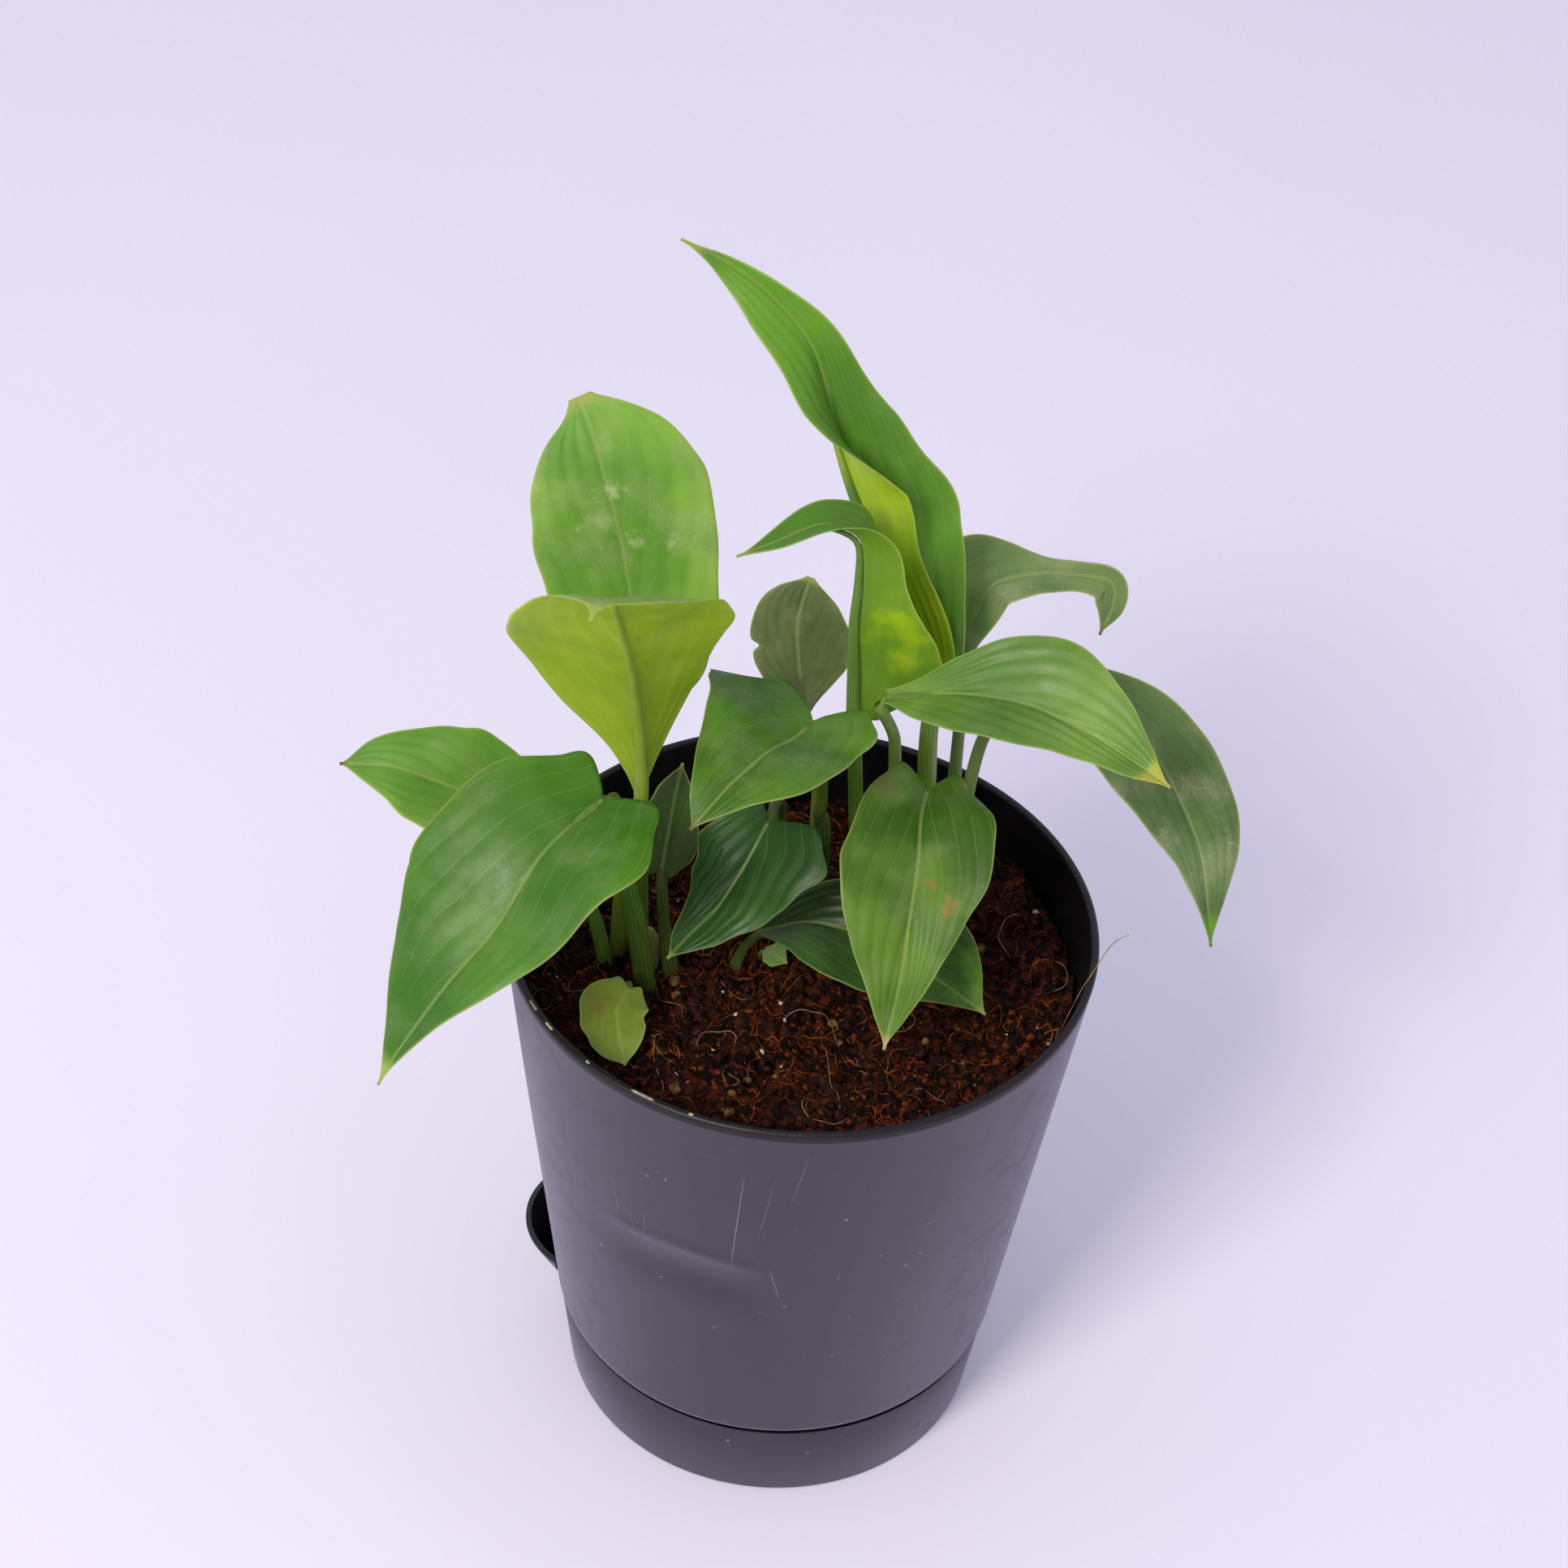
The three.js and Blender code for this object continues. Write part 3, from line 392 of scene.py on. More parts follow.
def mesh_piece(name, points, faces, materials, face_material=None, maps=None, crease=None):
    """Object from points in millimetres. maps gives UV pairs per point."""
    mesh = bpy.data.meshes.new(name)
    mesh.from_pydata((np.asarray(points) * MM).tolist(), [], faces)
    for made in materials:
        mesh.materials.append(made)
    if face_material is not None:
        mesh.polygons.foreach_set("material_index", np.asarray(face_material, dtype=np.int32))
    mesh.polygons.foreach_set("use_smooth", [True] * len(mesh.polygons))
    corner = np.empty(len(mesh.loops), dtype=np.int32)
    mesh.loops.foreach_get("vertex_index", corner)
    for key, pairs in (maps or {}).items():
        layer = mesh.uv_layers.new(name=key)
        layer.data.foreach_set("uv", np.asarray(pairs, float)[corner].ravel())
    if crease is not None:
        mesh.set_sharp_from_angle(angle=math.radians(crease))
    mesh.validate()
    made = bpy.data.objects.new(name, mesh)
    bpy.context.scene.collection.objects.link(made)
    return made


def owned(piece, finish, *stands_for):
    """Fixes a piece to the plant, in place of the given solids. The finish argument is not used."""
    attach(piece, "root")
    if stands_for:
        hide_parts(*stands_for)
    return piece


def grid_faces(rows, columns, start=0, wrap=False):
    """Quads of a grid of points; wrap joins the last column to the first."""
    faces = []
    for i in range(rows - 1):
        for j in range(columns if wrap else columns - 1):
            a = start + i * columns + j
            b = start + i * columns + (j + 1) % columns
            faces.append((a, b, b + columns, a + columns))
    return faces


def tube(place, side, up, wide, high, sides, groove=0.0):
    """Closed bar through rings of points; groove hollows its upper side."""
    a = np.linspace(0, 2 * np.pi, sides, endpoint=False)
    dip = 1 - groove * np.exp(-((a - np.pi / 2) / 0.55) ** 2)
    x = (np.cos(a) * dip)[None, :, None] * wide[:, None, None] * side[:, None, :]
    y = (np.sin(a) * dip)[None, :, None] * high[:, None, None] * up[:, None, :]
    points = (place[:, None, :] + x + y).reshape(-1, 3)
    rows = len(place)
    faces = grid_faces(rows, sides, wrap=True)
    faces.append(tuple(range(sides - 1, -1, -1)))
    faces.append(tuple((rows - 1) * sides + n for n in range(sides)))
    return points, faces


# ---------- leaves ----------


def blade_surface(leaf, s, t):
    """Middle surface of the blade on a grid of shares s (rows) and t (columns)."""
    place, heading, length = path_points(leaf["rib"], s)
    face = facing(leaf, s, heading)
    side = np.cross(heading, face)
    S, T = np.meshgrid(s, t, indexing="ij")
    width = half_width(leaf, S, T)
    reach = np.abs(T) * width
    fold = fold_at(leaf, S, T)
    curl = np.radians(straight(leaf["curl"], S)) * np.abs(T)
    out = reach * np.cos(fold + curl / 2)
    wave = leaf["ripple"] * T ** 2 * np.sin(14 * S + 2 * T) * np.sin(np.pi * S)
    rise = reach * np.sin(fold + curl / 2) + wave
    round_lobe = 1.5 * np.abs(T) ** 0.8 * (1 - 0.75 * np.abs(T) ** 5)
    back = leaf["lobe"] * round_lobe * np.maximum(1 - S / LOBE_SHARE, 0) ** 2
    surface = (place[:, None, :] + side[:, None, :] * (np.sign(T) * out)[..., None]
               + face[:, None, :] * rise[..., None] - heading[:, None, :] * back[..., None])
    return surface, S, T, width, length


def blade(leaf):
    """Closed thin blade: swollen between its veins, grooved over the midrib."""
    s = np.linspace(0, 1, BLADE_STATIONS)
    t = np.linspace(-1, 1, BLADE_COLUMNS + 1)
    surface, S, T, width, length = blade_surface(leaf, s, t)
    down = np.gradient(surface, axis=0)
    across = np.gradient(surface, axis=1)
    normal = unit(np.cross(across, down))
    phase = VEIN_COUNT * (S - VEIN_LEAN * np.abs(T) ** 1.1)
    small = min(1.0, length / 45)
    calm = np.clip((1 - np.abs(T)) * 5, 0, 1) * np.clip(np.minimum(S, 1 - S) * 8, 0, 1)
    swell = QUILT * small * np.abs(np.sin(np.pi * phase)) * calm * np.clip(width / 9, 0, 1)
    swell *= 0.75 + 0.25 * np.sin(5 * S + 3 * T + len(leaf["name"]))
    middle = np.abs(T) * width
    groove = RIB_GROOVE * small * np.exp(-(middle / 0.9) ** 2) * np.clip((1 - S) * 6, 0, 1)
    surface = surface + normal * (swell - groove)[..., None]
    half = BLADE_THICKNESS / 2 * (1 - 0.7 * np.abs(T) ** 12)[..., None]
    rows, columns = S.shape
    top = (surface + normal * half).reshape(-1, 3)
    under = (surface - normal * half).reshape(-1, 3)
    count = rows * columns
    upper = [f[::-1] for f in grid_faces(rows, columns)]
    lower = [tuple(n + count for n in f[::-1]) for f in upper]
    edge = ([j for j in range(columns)]
            + [i * columns + columns - 1 for i in range(1, rows)]
            + [(rows - 1) * columns + j for j in range(columns - 2, -1, -1)]
            + [i * columns for i in range(rows - 2, 0, -1)])
    rim = [(a, b, b + count, a + count) for a, b in zip(edge, edge[1:] + edge[:1])]
    faces = upper + lower + rim
    kinds = [0] * len(upper) + [1] * len(lower) + [0] * len(rim)
    field = np.stack([(phase / VEIN_SPAN + 0.5).ravel(), ((1 - np.abs(T)) * width / 50).ravel()], 1)
    shape = np.stack([(np.sign(T) * middle / 100 + 0.5).ravel(), S.ravel()], 1)
    return (np.vstack([top, under]), faces, kinds,
            np.vstack([field, field]), np.vstack([shape, shape]))


def stalk(leaf):
    """Channelled stalk that runs on under the blade as its midrib; a sheath widens its foot."""
    whole = leaf["stalk"] + leaf["rib"]
    shares = np.linspace(0, MIDRIB_END, STALK_STEPS)
    place, heading, total = path_points(whole, shares)
    join = path_points(leaf["stalk"] + leaf["rib"][:1], [0])[2] / total
    face = facing(leaf, np.maximum(shares - join, 0) / (1 - join), heading)
    side = np.cross(heading, face)
    low = leaf["foot"] + (leaf["neck"] - leaf["foot"]) * shares / join
    taper = (shares - join) / (MIDRIB_END - join)
    high = leaf["neck"] + (MIDRIB_TIP_RADIUS - leaf["neck"]) * taper
    radius = np.where(shares < join, low, np.minimum(leaf["neck"], high))
    grown = np.clip(1 - shares / (0.6 * join), 0, 1)
    wing = 1 + SHEATH_SPREAD * np.clip(grown * 3, 0, 1)
    sunk = np.where(shares < join, 0.8 * radius, radius + 0.08)
    place = place - face * sunk[:, None]
    return tube(place, side, face, radius * wing, radius, STALK_SIDES, groove=0.25)


def leaf_piece(leaf):
    name = leaf["name"]
    points, faces, kinds, field, shape = blade(leaf)
    bar, bar_faces = stalk(leaf)
    start = len(points)
    faces = faces + [tuple(n + start for n in f) for f in bar_faces]
    kinds = kinds + [2] * len(bar_faces)
    rows = len(bar) // STALK_SIDES
    level = np.repeat(np.linspace(0, 1, rows), STALK_SIDES)
    turn = np.tile(np.linspace(0, 1, STALK_SIDES), rows)
    bar_map = np.stack([turn, level], 1)
    look = {**SKIN, **SKINS[name], "stains_and_painted_light": STAINS_AND_PAINTED_LIGHT.get(name, [])}
    skins = [leaf_skin(name + "_upper", look, True), leaf_skin(name + "_under", look, False),
             stalk_skin(name + "_stalk", look)]
    piece = mesh_piece("grown_" + name, np.vstack([points, bar]), faces, skins, kinds,
                       {"shape": np.vstack([shape, bar_map]),
                        "veins": np.vstack([field, bar_map])})
    return owned(piece, leaf["look"], name)


# ---------- materials ----------


def linear(code):
    """Linear colour of an sRGB hex code."""
    parts = [int(code[n:n + 2], 16) / 255 for n in (1, 3, 5)]
    return tuple(c / 12.92 if c <= 0.04045 else ((c + 0.055) / 1.055) ** 2.4
                 for c in parts) + (1.0,)


def add(tree, kind, inputs=None, out=0, **settings):
    """Adds a node; inputs maps its sockets to values or to other sockets."""
    made = tree.nodes.new("ShaderNode" + kind)
    for key, value in settings.items():
        setattr(made, key, value)
    for key, value in (inputs or {}).items():
        if isinstance(value, bpy.types.NodeSocket):
            tree.links.new(value, made.inputs[key])
        else:
            made.inputs[key].default_value = value
    return made.outputs[out]


def coats(tree, base, *layers):
    """Colours laid one over another, each where its mask is 1."""
    colour = base if isinstance(base, bpy.types.NodeSocket) else linear(base)
    for over, mask in layers:
        over = over if isinstance(over, bpy.types.NodeSocket) else linear(over)
        colour = add(tree, "MixRGB", {0: mask, 1: colour, 2: over})
    return colour


def ramp(tree, value, low, high, bottom=0.0, top=1.0):
    """Soft step of a value from bottom at low to top at high."""
    return add(tree, "MapRange", {0: value, 1: low, 2: high, 3: bottom, 4: top},
               interpolation_type="SMOOTHSTEP")


def times(tree, a, b):
    return add(tree, "Math", {0: a, 1: b}, operation="MULTIPLY")


def grain(tree, coords, size, detail=2.0, stretch=(1, 1, 1)):
    """Noise with cells of about size millimetres."""
    scaled = add(tree, "VectorMath", {0: coords, 1: stretch}, operation="MULTIPLY")
    return add(tree, "TexNoise", {"Vector": scaled, "Scale": 1 / (size * MM), "Detail": detail})


def surface(name):
    made = bpy.data.materials.new(name)
    made.use_nodes = True
    tree = made.node_tree
    shader = tree.nodes["Principled BSDF"]
    return made, tree, shader


def leaf_skin(name, look, upper):
    """Living leaf: waxy green skin over pale veins, lit from within like any thin leaf."""
    made, tree, shader = surface(name)
    here = add(tree, "TexCoord", out="Object")
    veins = add(tree, "UVMap", uv_map="veins")
    shape = add(tree, "UVMap", uv_map="shape")
    phase = add(tree, "SeparateXYZ", {0: veins}, out="X")
    margin = add(tree, "SeparateXYZ", {0: veins}, out="Y")
    off_rib = add(tree, "SeparateXYZ", {0: shape}, out="X")
    share = add(tree, "SeparateXYZ", {0: shape}, out="Y")
    count = times(tree, phase, VEIN_SPAN)
    to_vein = add(tree, "Math", {0: count, 1: 0.5}, operation="PINGPONG")
    vein = times(tree, ramp(tree, to_vein, 0.0, 0.05, 1.0, 0.0),
                 ramp(tree, share, 0.6, 0.95, 1.0, 0.0))
    fine = add(tree, "Math", {0: times(tree, count, 7.0), 1: 0.5}, operation="PINGPONG")
    fine_line = ramp(tree, fine, 0.0, 0.3, 1.0, 0.0)
    rib_way = add(tree, "Math", {0: off_rib, 1: 0.5}, operation="SUBTRACT")
    to_rib = add(tree, "Math", {0: rib_way}, operation="ABSOLUTE")
    rib = ramp(tree, to_rib, 0.002, 0.006, 1.0, 0.0)
    edge = ramp(tree, margin, 0.003, 0.010, 1.0, 0.0)
    patches = ramp(tree, grain(tree, here, 22, 3), 0.35, 0.68)
    speckle = ramp(tree, grain(tree, here, 1.1, 3), 0.5, 0.75)
    tip_noise = add(tree, "Math", {0: share, 1: times(tree, grain(tree, here, 3), 0.04)},
                    operation="ADD")
    tip = ramp(tree, tip_noise, look["tip_from"], look["tip_from"] + 0.05)
    film = times(tree, ramp(tree, grain(tree, here, 9, 5), 0.42, 0.72), look["dust"])
    grit = times(tree, ramp(tree, grain(tree, here, 0.8, 4), 0.58, 0.72),
                 times(tree, film, 1.2))
    pale = look["light"] if upper else look["under"]
    base = coats(tree, look["deep"], (pale, patches)) if upper else look["under"]
    layers = [("#8ca25a" if upper else "#566c18", times(tree, vein, 0.2)),
              (pale, times(tree, fine_line, 0.1)),
              ("#93a95c" if upper else "#b9c77a", times(tree, rib, 0.4)),
              ("#b3bd74", times(tree, edge, 0.3)),
              ("#a3a684", film), ("#c7c2ad", grit)]
    if not upper:
        layers.insert(0, (look["light"], times(tree, patches, 0.45)))
    # Blemishes, and on some leaves a painted patch of light or a painted sheen.
    for colour, where, size, strength in look["stains_and_painted_light"]:
        away = add(tree, "VectorMath", {0: here, 1: [c * MM for c in where]},
                   operation="DISTANCE", out="Value")
        ragged = times(tree, grain(tree, here, size * 0.8, 5), 3.2 * size * MM)
        rough_away = add(tree, "Math", {0: away, 1: ragged}, operation="ADD")
        spot = ramp(tree, rough_away, size * 1.5 * MM, size * 2.6 * MM, strength, 0.0)
        layers.append((colour, spot))
    layers.append((look["tip"], tip))
    colour = coats(tree, base, *layers)
    tree.links.new(colour, shader.inputs["Base Color"])
    gloss = ramp(tree, grain(tree, here, 6, 4), 0.2, 0.8, look["gloss"] - 0.06,
                 look["gloss"] + (0.12 if upper else 0.25))
    tree.links.new(gloss, shader.inputs["Roughness"])
    relief = coats(tree, "#808080", ("#000000", times(tree, vein, 0.9)),
                   ("#404040", times(tree, fine_line, 0.35)),
                   ("#ffffff", times(tree, speckle, 0.25)))
    bump = add(tree, "Bump", {"Strength": 0.5, "Distance": 0.12 * MM, "Height": relief},
               invert=not upper)
    tree.links.new(bump, shader.inputs["Normal"])
    shader.inputs["IOR"].default_value = 1.42
    shader.inputs["Specular IOR Level"].default_value = 0.35
    shader.inputs["Subsurface Weight"].default_value = look["glow"]
    shader.inputs["Subsurface Radius"].default_value = (0.8, 1.0, 0.12)
    shader.inputs["Subsurface Scale"].default_value = 1.6 * MM
    return made


def stalk_skin(name, look):
    """Juicy leaf stalk: fine lengthways ridges, paler than the blade."""
    made, tree, shader = surface(name)
    here = add(tree, "TexCoord", out="Object")
    shape = add(tree, "UVMap", uv_map="shape")
    turn = add(tree, "SeparateXYZ", {0: shape}, out="X")
    level = add(tree, "SeparateXYZ", {0: shape}, out="Y")
    ridge = add(tree, "Math", {0: times(tree, turn, 14.0), 1: 0.5}, operation="PINGPONG")
    line = ramp(tree, ridge, 0.0, 0.4, 1.0, 0.0)
    patches = ramp(tree, grain(tree, here, 8, 3, (1, 1, 0.3)), 0.35, 0.7)
    foot = ramp(tree, level, 0.0, 0.16, 1.0, 0.0)
    colour = coats(tree, look["deep"], (look["under"], times(tree, patches, 0.5)),
                   ("#a9bb6c", times(tree, line, 0.25)),
                   ("#4a4a26", times(tree, foot, 0.5)))
    tree.links.new(colour, shader.inputs["Base Color"])
    shader.inputs["Roughness"].default_value = 0.42
    shader.inputs["IOR"].default_value = 1.42
    shader.inputs["Subsurface Weight"].default_value = 0.3
    shader.inputs["Subsurface Radius"].default_value = (0.8, 1.0, 0.12)
    shader.inputs["Subsurface Scale"].default_value = 2.0 * MM
    bump = add(tree, "Bump", {"Strength": 0.4, "Distance": 0.1 * MM, "Height": line})
    tree.links.new(bump, shader.inputs["Normal"])
    return made


def pot_skin(name, body, shade, worn, specks=0.5):
    """Moulded polypropylene with a fine matt grain: dust dulls it and lifts its colour."""
    made, tree, shader = surface(name)
    here = add(tree, "TexCoord", out="Object")
    cloud = ramp(tree, grain(tree, here, 34, 3), 0.35, 0.7)
    film = ramp(tree, grain(tree, here, 7, 5), 0.45, 0.75)
    high = add(tree, "SeparateXYZ", {0: here}, out="Z")
    lower = ramp(tree, high, 0.0, 0.03, 1.0, 0.0)
    dots = add(tree, "TexVoronoi", {"Vector": here, "Scale": 330.0, "Randomness": 1.0})
    pick = ramp(tree, grain(tree, here, 5, 2), 0.6, 0.66)
    speck = times(tree, ramp(tree, dots, 0.10, 0.16, 1.0, 0.0), times(tree, pick, specks))
    colour = coats(tree, body, (shade, times(tree, cloud, 0.35)),
                   (worn, times(tree, film, 0.14)), (worn, times(tree, lower, 0.2)),
                   ("#b9b2b4", times(tree, speck, 0.6)))
    tree.links.new(colour, shader.inputs["Base Color"])
    tree.links.new(ramp(tree, film, 0.0, 1.0, 0.5, 0.64), shader.inputs["Roughness"])
    pebble = add(tree, "Bump", {"Strength": 0.25, "Distance": 0.05 * MM,
                                "Height": grain(tree, here, 0.9, 2)})
    tree.links.new(pebble, shader.inputs["Normal"])
    shader.inputs["IOR"].default_value = 1.49
    shader.inputs["Sheen Weight"].default_value = 0.5
    shader.inputs["Sheen Roughness"].default_value = 0.45
    shader.inputs["Specular IOR Level"].default_value = 0.35
    shader.inputs["Sheen Tint"].default_value = linear("#c9c4dc")
    return made


def plain_skin(name, body, other, size, rough, ior=1.49, shine=0.5):
    """Even material mottled between two colours, with a light grain."""
    made, tree, shader = surface(name)
    here = add(tree, "TexCoord", out="Object")
    mottle = ramp(tree, grain(tree, here, size, 4), 0.35, 0.7)
    tree.links.new(coats(tree, body, (other, mottle)), shader.inputs["Base Color"])
    shader.inputs["Roughness"].default_value = rough
    shader.inputs["Specular IOR Level"].default_value = shine
    shader.inputs["IOR"].default_value = ior
    bump = add(tree, "Bump", {"Strength": 0.35, "Distance": 0.08 * MM,
                              "Height": grain(tree, here, size / 4, 3)})
    tree.links.new(bump, shader.inputs["Normal"])
    return made


def compost_skin(name):
    """Damp coir and peat: black-brown, with rust-coloured crumbs that shine where wet."""
    made, tree, shader = surface(name)
    here = add(tree, "TexCoord", out="Object")
    clods = ramp(tree, grain(tree, here, 9, 4), 0.4, 0.68)
    rust = ramp(tree, grain(tree, here, 2.2, 5), 0.46, 0.64)
    bright = ramp(tree, grain(tree, here, 1.0, 3), 0.62, 0.76)
    colour = coats(tree, "#0a0302", ("#1c0904", clods), ("#521d09", times(tree, rust, 0.6)),
                   ("#9a5220", times(tree, bright, 0.6)))
    tree.links.new(colour, shader.inputs["Base Color"])
    shader.inputs["Specular IOR Level"].default_value = 0.12
    wet = ramp(tree, grain(tree, here, 4, 3), 0.45, 0.6, 0.55, 0.9)
    tree.links.new(wet, shader.inputs["Roughness"])
    bump = add(tree, "Bump", {"Strength": 1.0, "Distance": 0.5 * MM,
                              "Height": grain(tree, here, 0.8, 6)})
    tree.links.new(bump, shader.inputs["Normal"])
    return made


# ---------- pot ----------


def wall_radius(z):
    slope = (RIM_RADIUS - SEAM_RADIUS) / (RIM_HEIGHT - SEAM_HEIGHT)
    return SEAM_RADIUS + (z - SEAM_HEIGHT) * slope


def spread(a, b, step):
    """Points from a up to b, not including b, about step apart."""
    a, b = np.array(a, float), np.array(b, float)
    count = max(int(np.linalg.norm(b - a) / step), 1)
    return [tuple(a + (b - a) * n / count) for n in range(count)]


def arc(centre, radius, start, end, steps=6):
    angles = np.radians(np.linspace(start, end, steps + 1))
    return [(centre[0] + radius * math.cos(a), centre[1] + radius * math.sin(a))
            for a in angles]


def lathe(profile, sides=POT_SIDES, closed=True, push=None):
    """Turned shape from (radius, height) pairs; push moves points in or out."""
    profile = np.array(profile, float)
    angle = np.linspace(0, 2 * np.pi, sides, endpoint=False)
    r = np.repeat(profile[:, :1], sides, 1)
    z = np.repeat(profile[:, 1:], sides, 1)
    a = np.repeat(angle[None], len(profile), 0)
    if push is not None:
        r = r + push(a, z, np.arange(len(profile))[:, None])
    points = np.stack([r * np.cos(a), r * np.sin(a), z], -1).reshape(-1, 3)
    rows = len(profile)
    faces = grid_faces(rows, sides, wrap=True)
    if closed:
        last = (rows - 1) * sides
        faces += [(last + j, last + (j + 1) % sides, (j + 1) % sides, j)
                  for j in range(sides)]
    return points, faces


def capped(profile, sides=POT_SIDES):
    """Turned solid whose first and last pairs close on the axis."""
    points, faces = lathe(profile[1:-1], sides, closed=False)
    low, high = len(points), len(points) + 1
    points = np.vstack([points, [[0, 0, profile[0][1]], [0, 0, profile[-1][1]]]])
    last = (len(profile) - 3) * sides
    faces += [(low, (j + 1) % sides, j) for j in range(sides)]
    faces += [(high, last + j, last + (j + 1) % sides) for j in range(sides)]
    return points, faces


def dent(angle, z, row):
    """Shallow crease pressed into the front of the wall, low on the left."""
    turn = np.degrees(angle)
    turn = np.where(turn > 180, turn - 360, turn)
    ride = (turn + 110) / 17
    middle = 87 + 2.2 * np.cos(ride * 1.4)
    reach = np.exp(-ride ** 4)
    crest = 0.35 * np.exp(-((z - middle - 1.2) / 1.6) ** 2)
    hollow = 0.8 * np.exp(-((z - middle + 7) / 6.5) ** 2)
    outer = (row < OUTER_ROWS)
    wobble = 0.12 * np.sin(3 * angle + 1) * np.sin(z / 20)
    return np.where(outer, (crest - hollow) * reach + wobble, wobble)


OUTER = ([(SEAM_RADIUS - 0.35, SEAM_HEIGHT), (SEAM_RADIUS, SEAM_HEIGHT + 0.35)]
         + spread((SEAM_RADIUS + 0.12, SEAM_HEIGHT + 1), (RIM_RADIUS - 0.1, RIM_HEIGHT - 1), 1.5))
OUTER_ROWS = len(OUTER)


def planter():
    lip = arc((RIM_RADIUS - 1.0, RIM_HEIGHT - 0.95), 0.95, 0, 180)
    inner = spread((RIM_RADIUS - WALL + 0.05, RIM_HEIGHT - 1.5),
                   (wall_radius(FLOOR_TOP) - WALL, FLOOR_TOP), 6)
    hole = BASKET_RADIUS + GAP
    floor = [(wall_radius(FLOOR_TOP) - WALL, FLOOR_TOP), (hole, FLOOR_TOP),
             (hole, FLOOR_UNDER), (wall_radius(FLOOR_UNDER) - SKIRT_WALL, FLOOR_UNDER),
             (SEAM_RADIUS - SKIRT_WALL, SEAM_HEIGHT)]
    profile = OUTER + lip + inner + floor
    points, faces = lathe(profile, push=dent)
    rows = [n // POT_SIDES for n in range(len(faces))]
    # The seam chamfer, the rim lip, the inner wall and the floor take a near-black copy of the pot
    # plastic: painted shade.
    kinds = [0 if 0 < n < OUTER_ROWS - 1 else 1 for n in rows]
    outside = pot_skin("matt_moulded_polypropylene", "#28242e", "#242029", "#57505f")
    shaded_inside = plain_skin("glossy_polypropylene_painted_shade", "#0b090d", "#131116", 5, 0.42, shine=0.35)
    piece = mesh_piece("moulded_planter", points, faces, [outside, shaded_inside], kinds, crease=40)
    return owned(piece, "pot_plastic", "planter")


def scar(name, marks, colour):
    """Pale scrapes on the wall: thin raised slivers that follow it."""
    points, faces = [], []
    for turn, low, high, lean, width in marks:
        steps = 14
        start = len(points)
        for n in range(steps + 1):
            k = n / steps
            z = low + (high - low) * k
            a = math.radians(turn + lean * k)
            half = width / 2 * math.sin(math.pi * min(max(k, 0.04), 0.96)) ** 0.5
            r = wall_radius(z) + 0.05 + float(dent(np.array(a), np.array(z), np.array(0)))
            for side, lift in ((-half, 0.0), (0, 0.03), (half, 0.0)):
                b = a + side / r
                points.append(((r + lift) * math.cos(b), (r + lift) * math.sin(b), z))
            if n:
                i = start + (n - 1) * 3
                faces += [(i, i + 1, i + 4, i + 3), (i + 1, i + 2, i + 5, i + 4)]
    skin = plain_skin(name + "_scuffed_plastic", colour, "#6d6877", 1.5, 0.7)
    piece = mesh_piece(name, points, faces, [skin])
    return owned(piece, "pot_plastic")


def rim_arc(start, end):
    """Points along the top of the rim between two bearings."""
    turns = np.radians(np.linspace(start, end, 6))
    ride = RIM_RADIUS - 0.7
    return [(ride * math.cos(a), ride * math.sin(a), RIM_HEIGHT - 0.12) for a in turns]


def spout_ring(z, grow):
    """Ring of the leaning spout at height z, grown by grow."""
    share = (z - SPOUT_FOOT) / (SPOUT_LIP - SPOUT_FOOT)
    out = 37 + 5 * share
    a = math.radians(SPOUT_ANGLE)
    turn = np.linspace(0, 2 * np.pi, SPOUT_SIDES, endpoint=False)
    radius = 10 + 9 * share + grow
    return np.stack([out * math.cos(a) + radius * np.cos(turn),
                     out * math.sin(a) + radius * np.sin(turn), np.full(SPOUT_SIDES, z)], 1)


def spout_solid(levels):
    """Leaning cone through (height, growth) pairs, closed at both ends."""
    points = np.vstack([spout_ring(z, grow) for z, grow in levels])
    faces = grid_faces(len(levels), SPOUT_SIDES, wrap=True)
    last = (len(levels) - 1) * SPOUT_SIDES
    faces.append(tuple(range(SPOUT_SIDES - 1, -1, -1)))
    faces.append(tuple(last + n for n in range(SPOUT_SIDES)))
    return points, faces


def joined(base, other, operation):
    """Adds one solid to another or takes it away."""
    change = base.modifiers.new("joint", "BOOLEAN")
    change.object = other
    change.operation = operation
    change.solver = "EXACT"
    graph = bpy.context.evaluated_depsgraph_get()
    base.data = bpy.data.meshes.new_from_object(base.evaluated_get(graph))
    base.modifiers.clear()
    bpy.data.objects.remove(other)


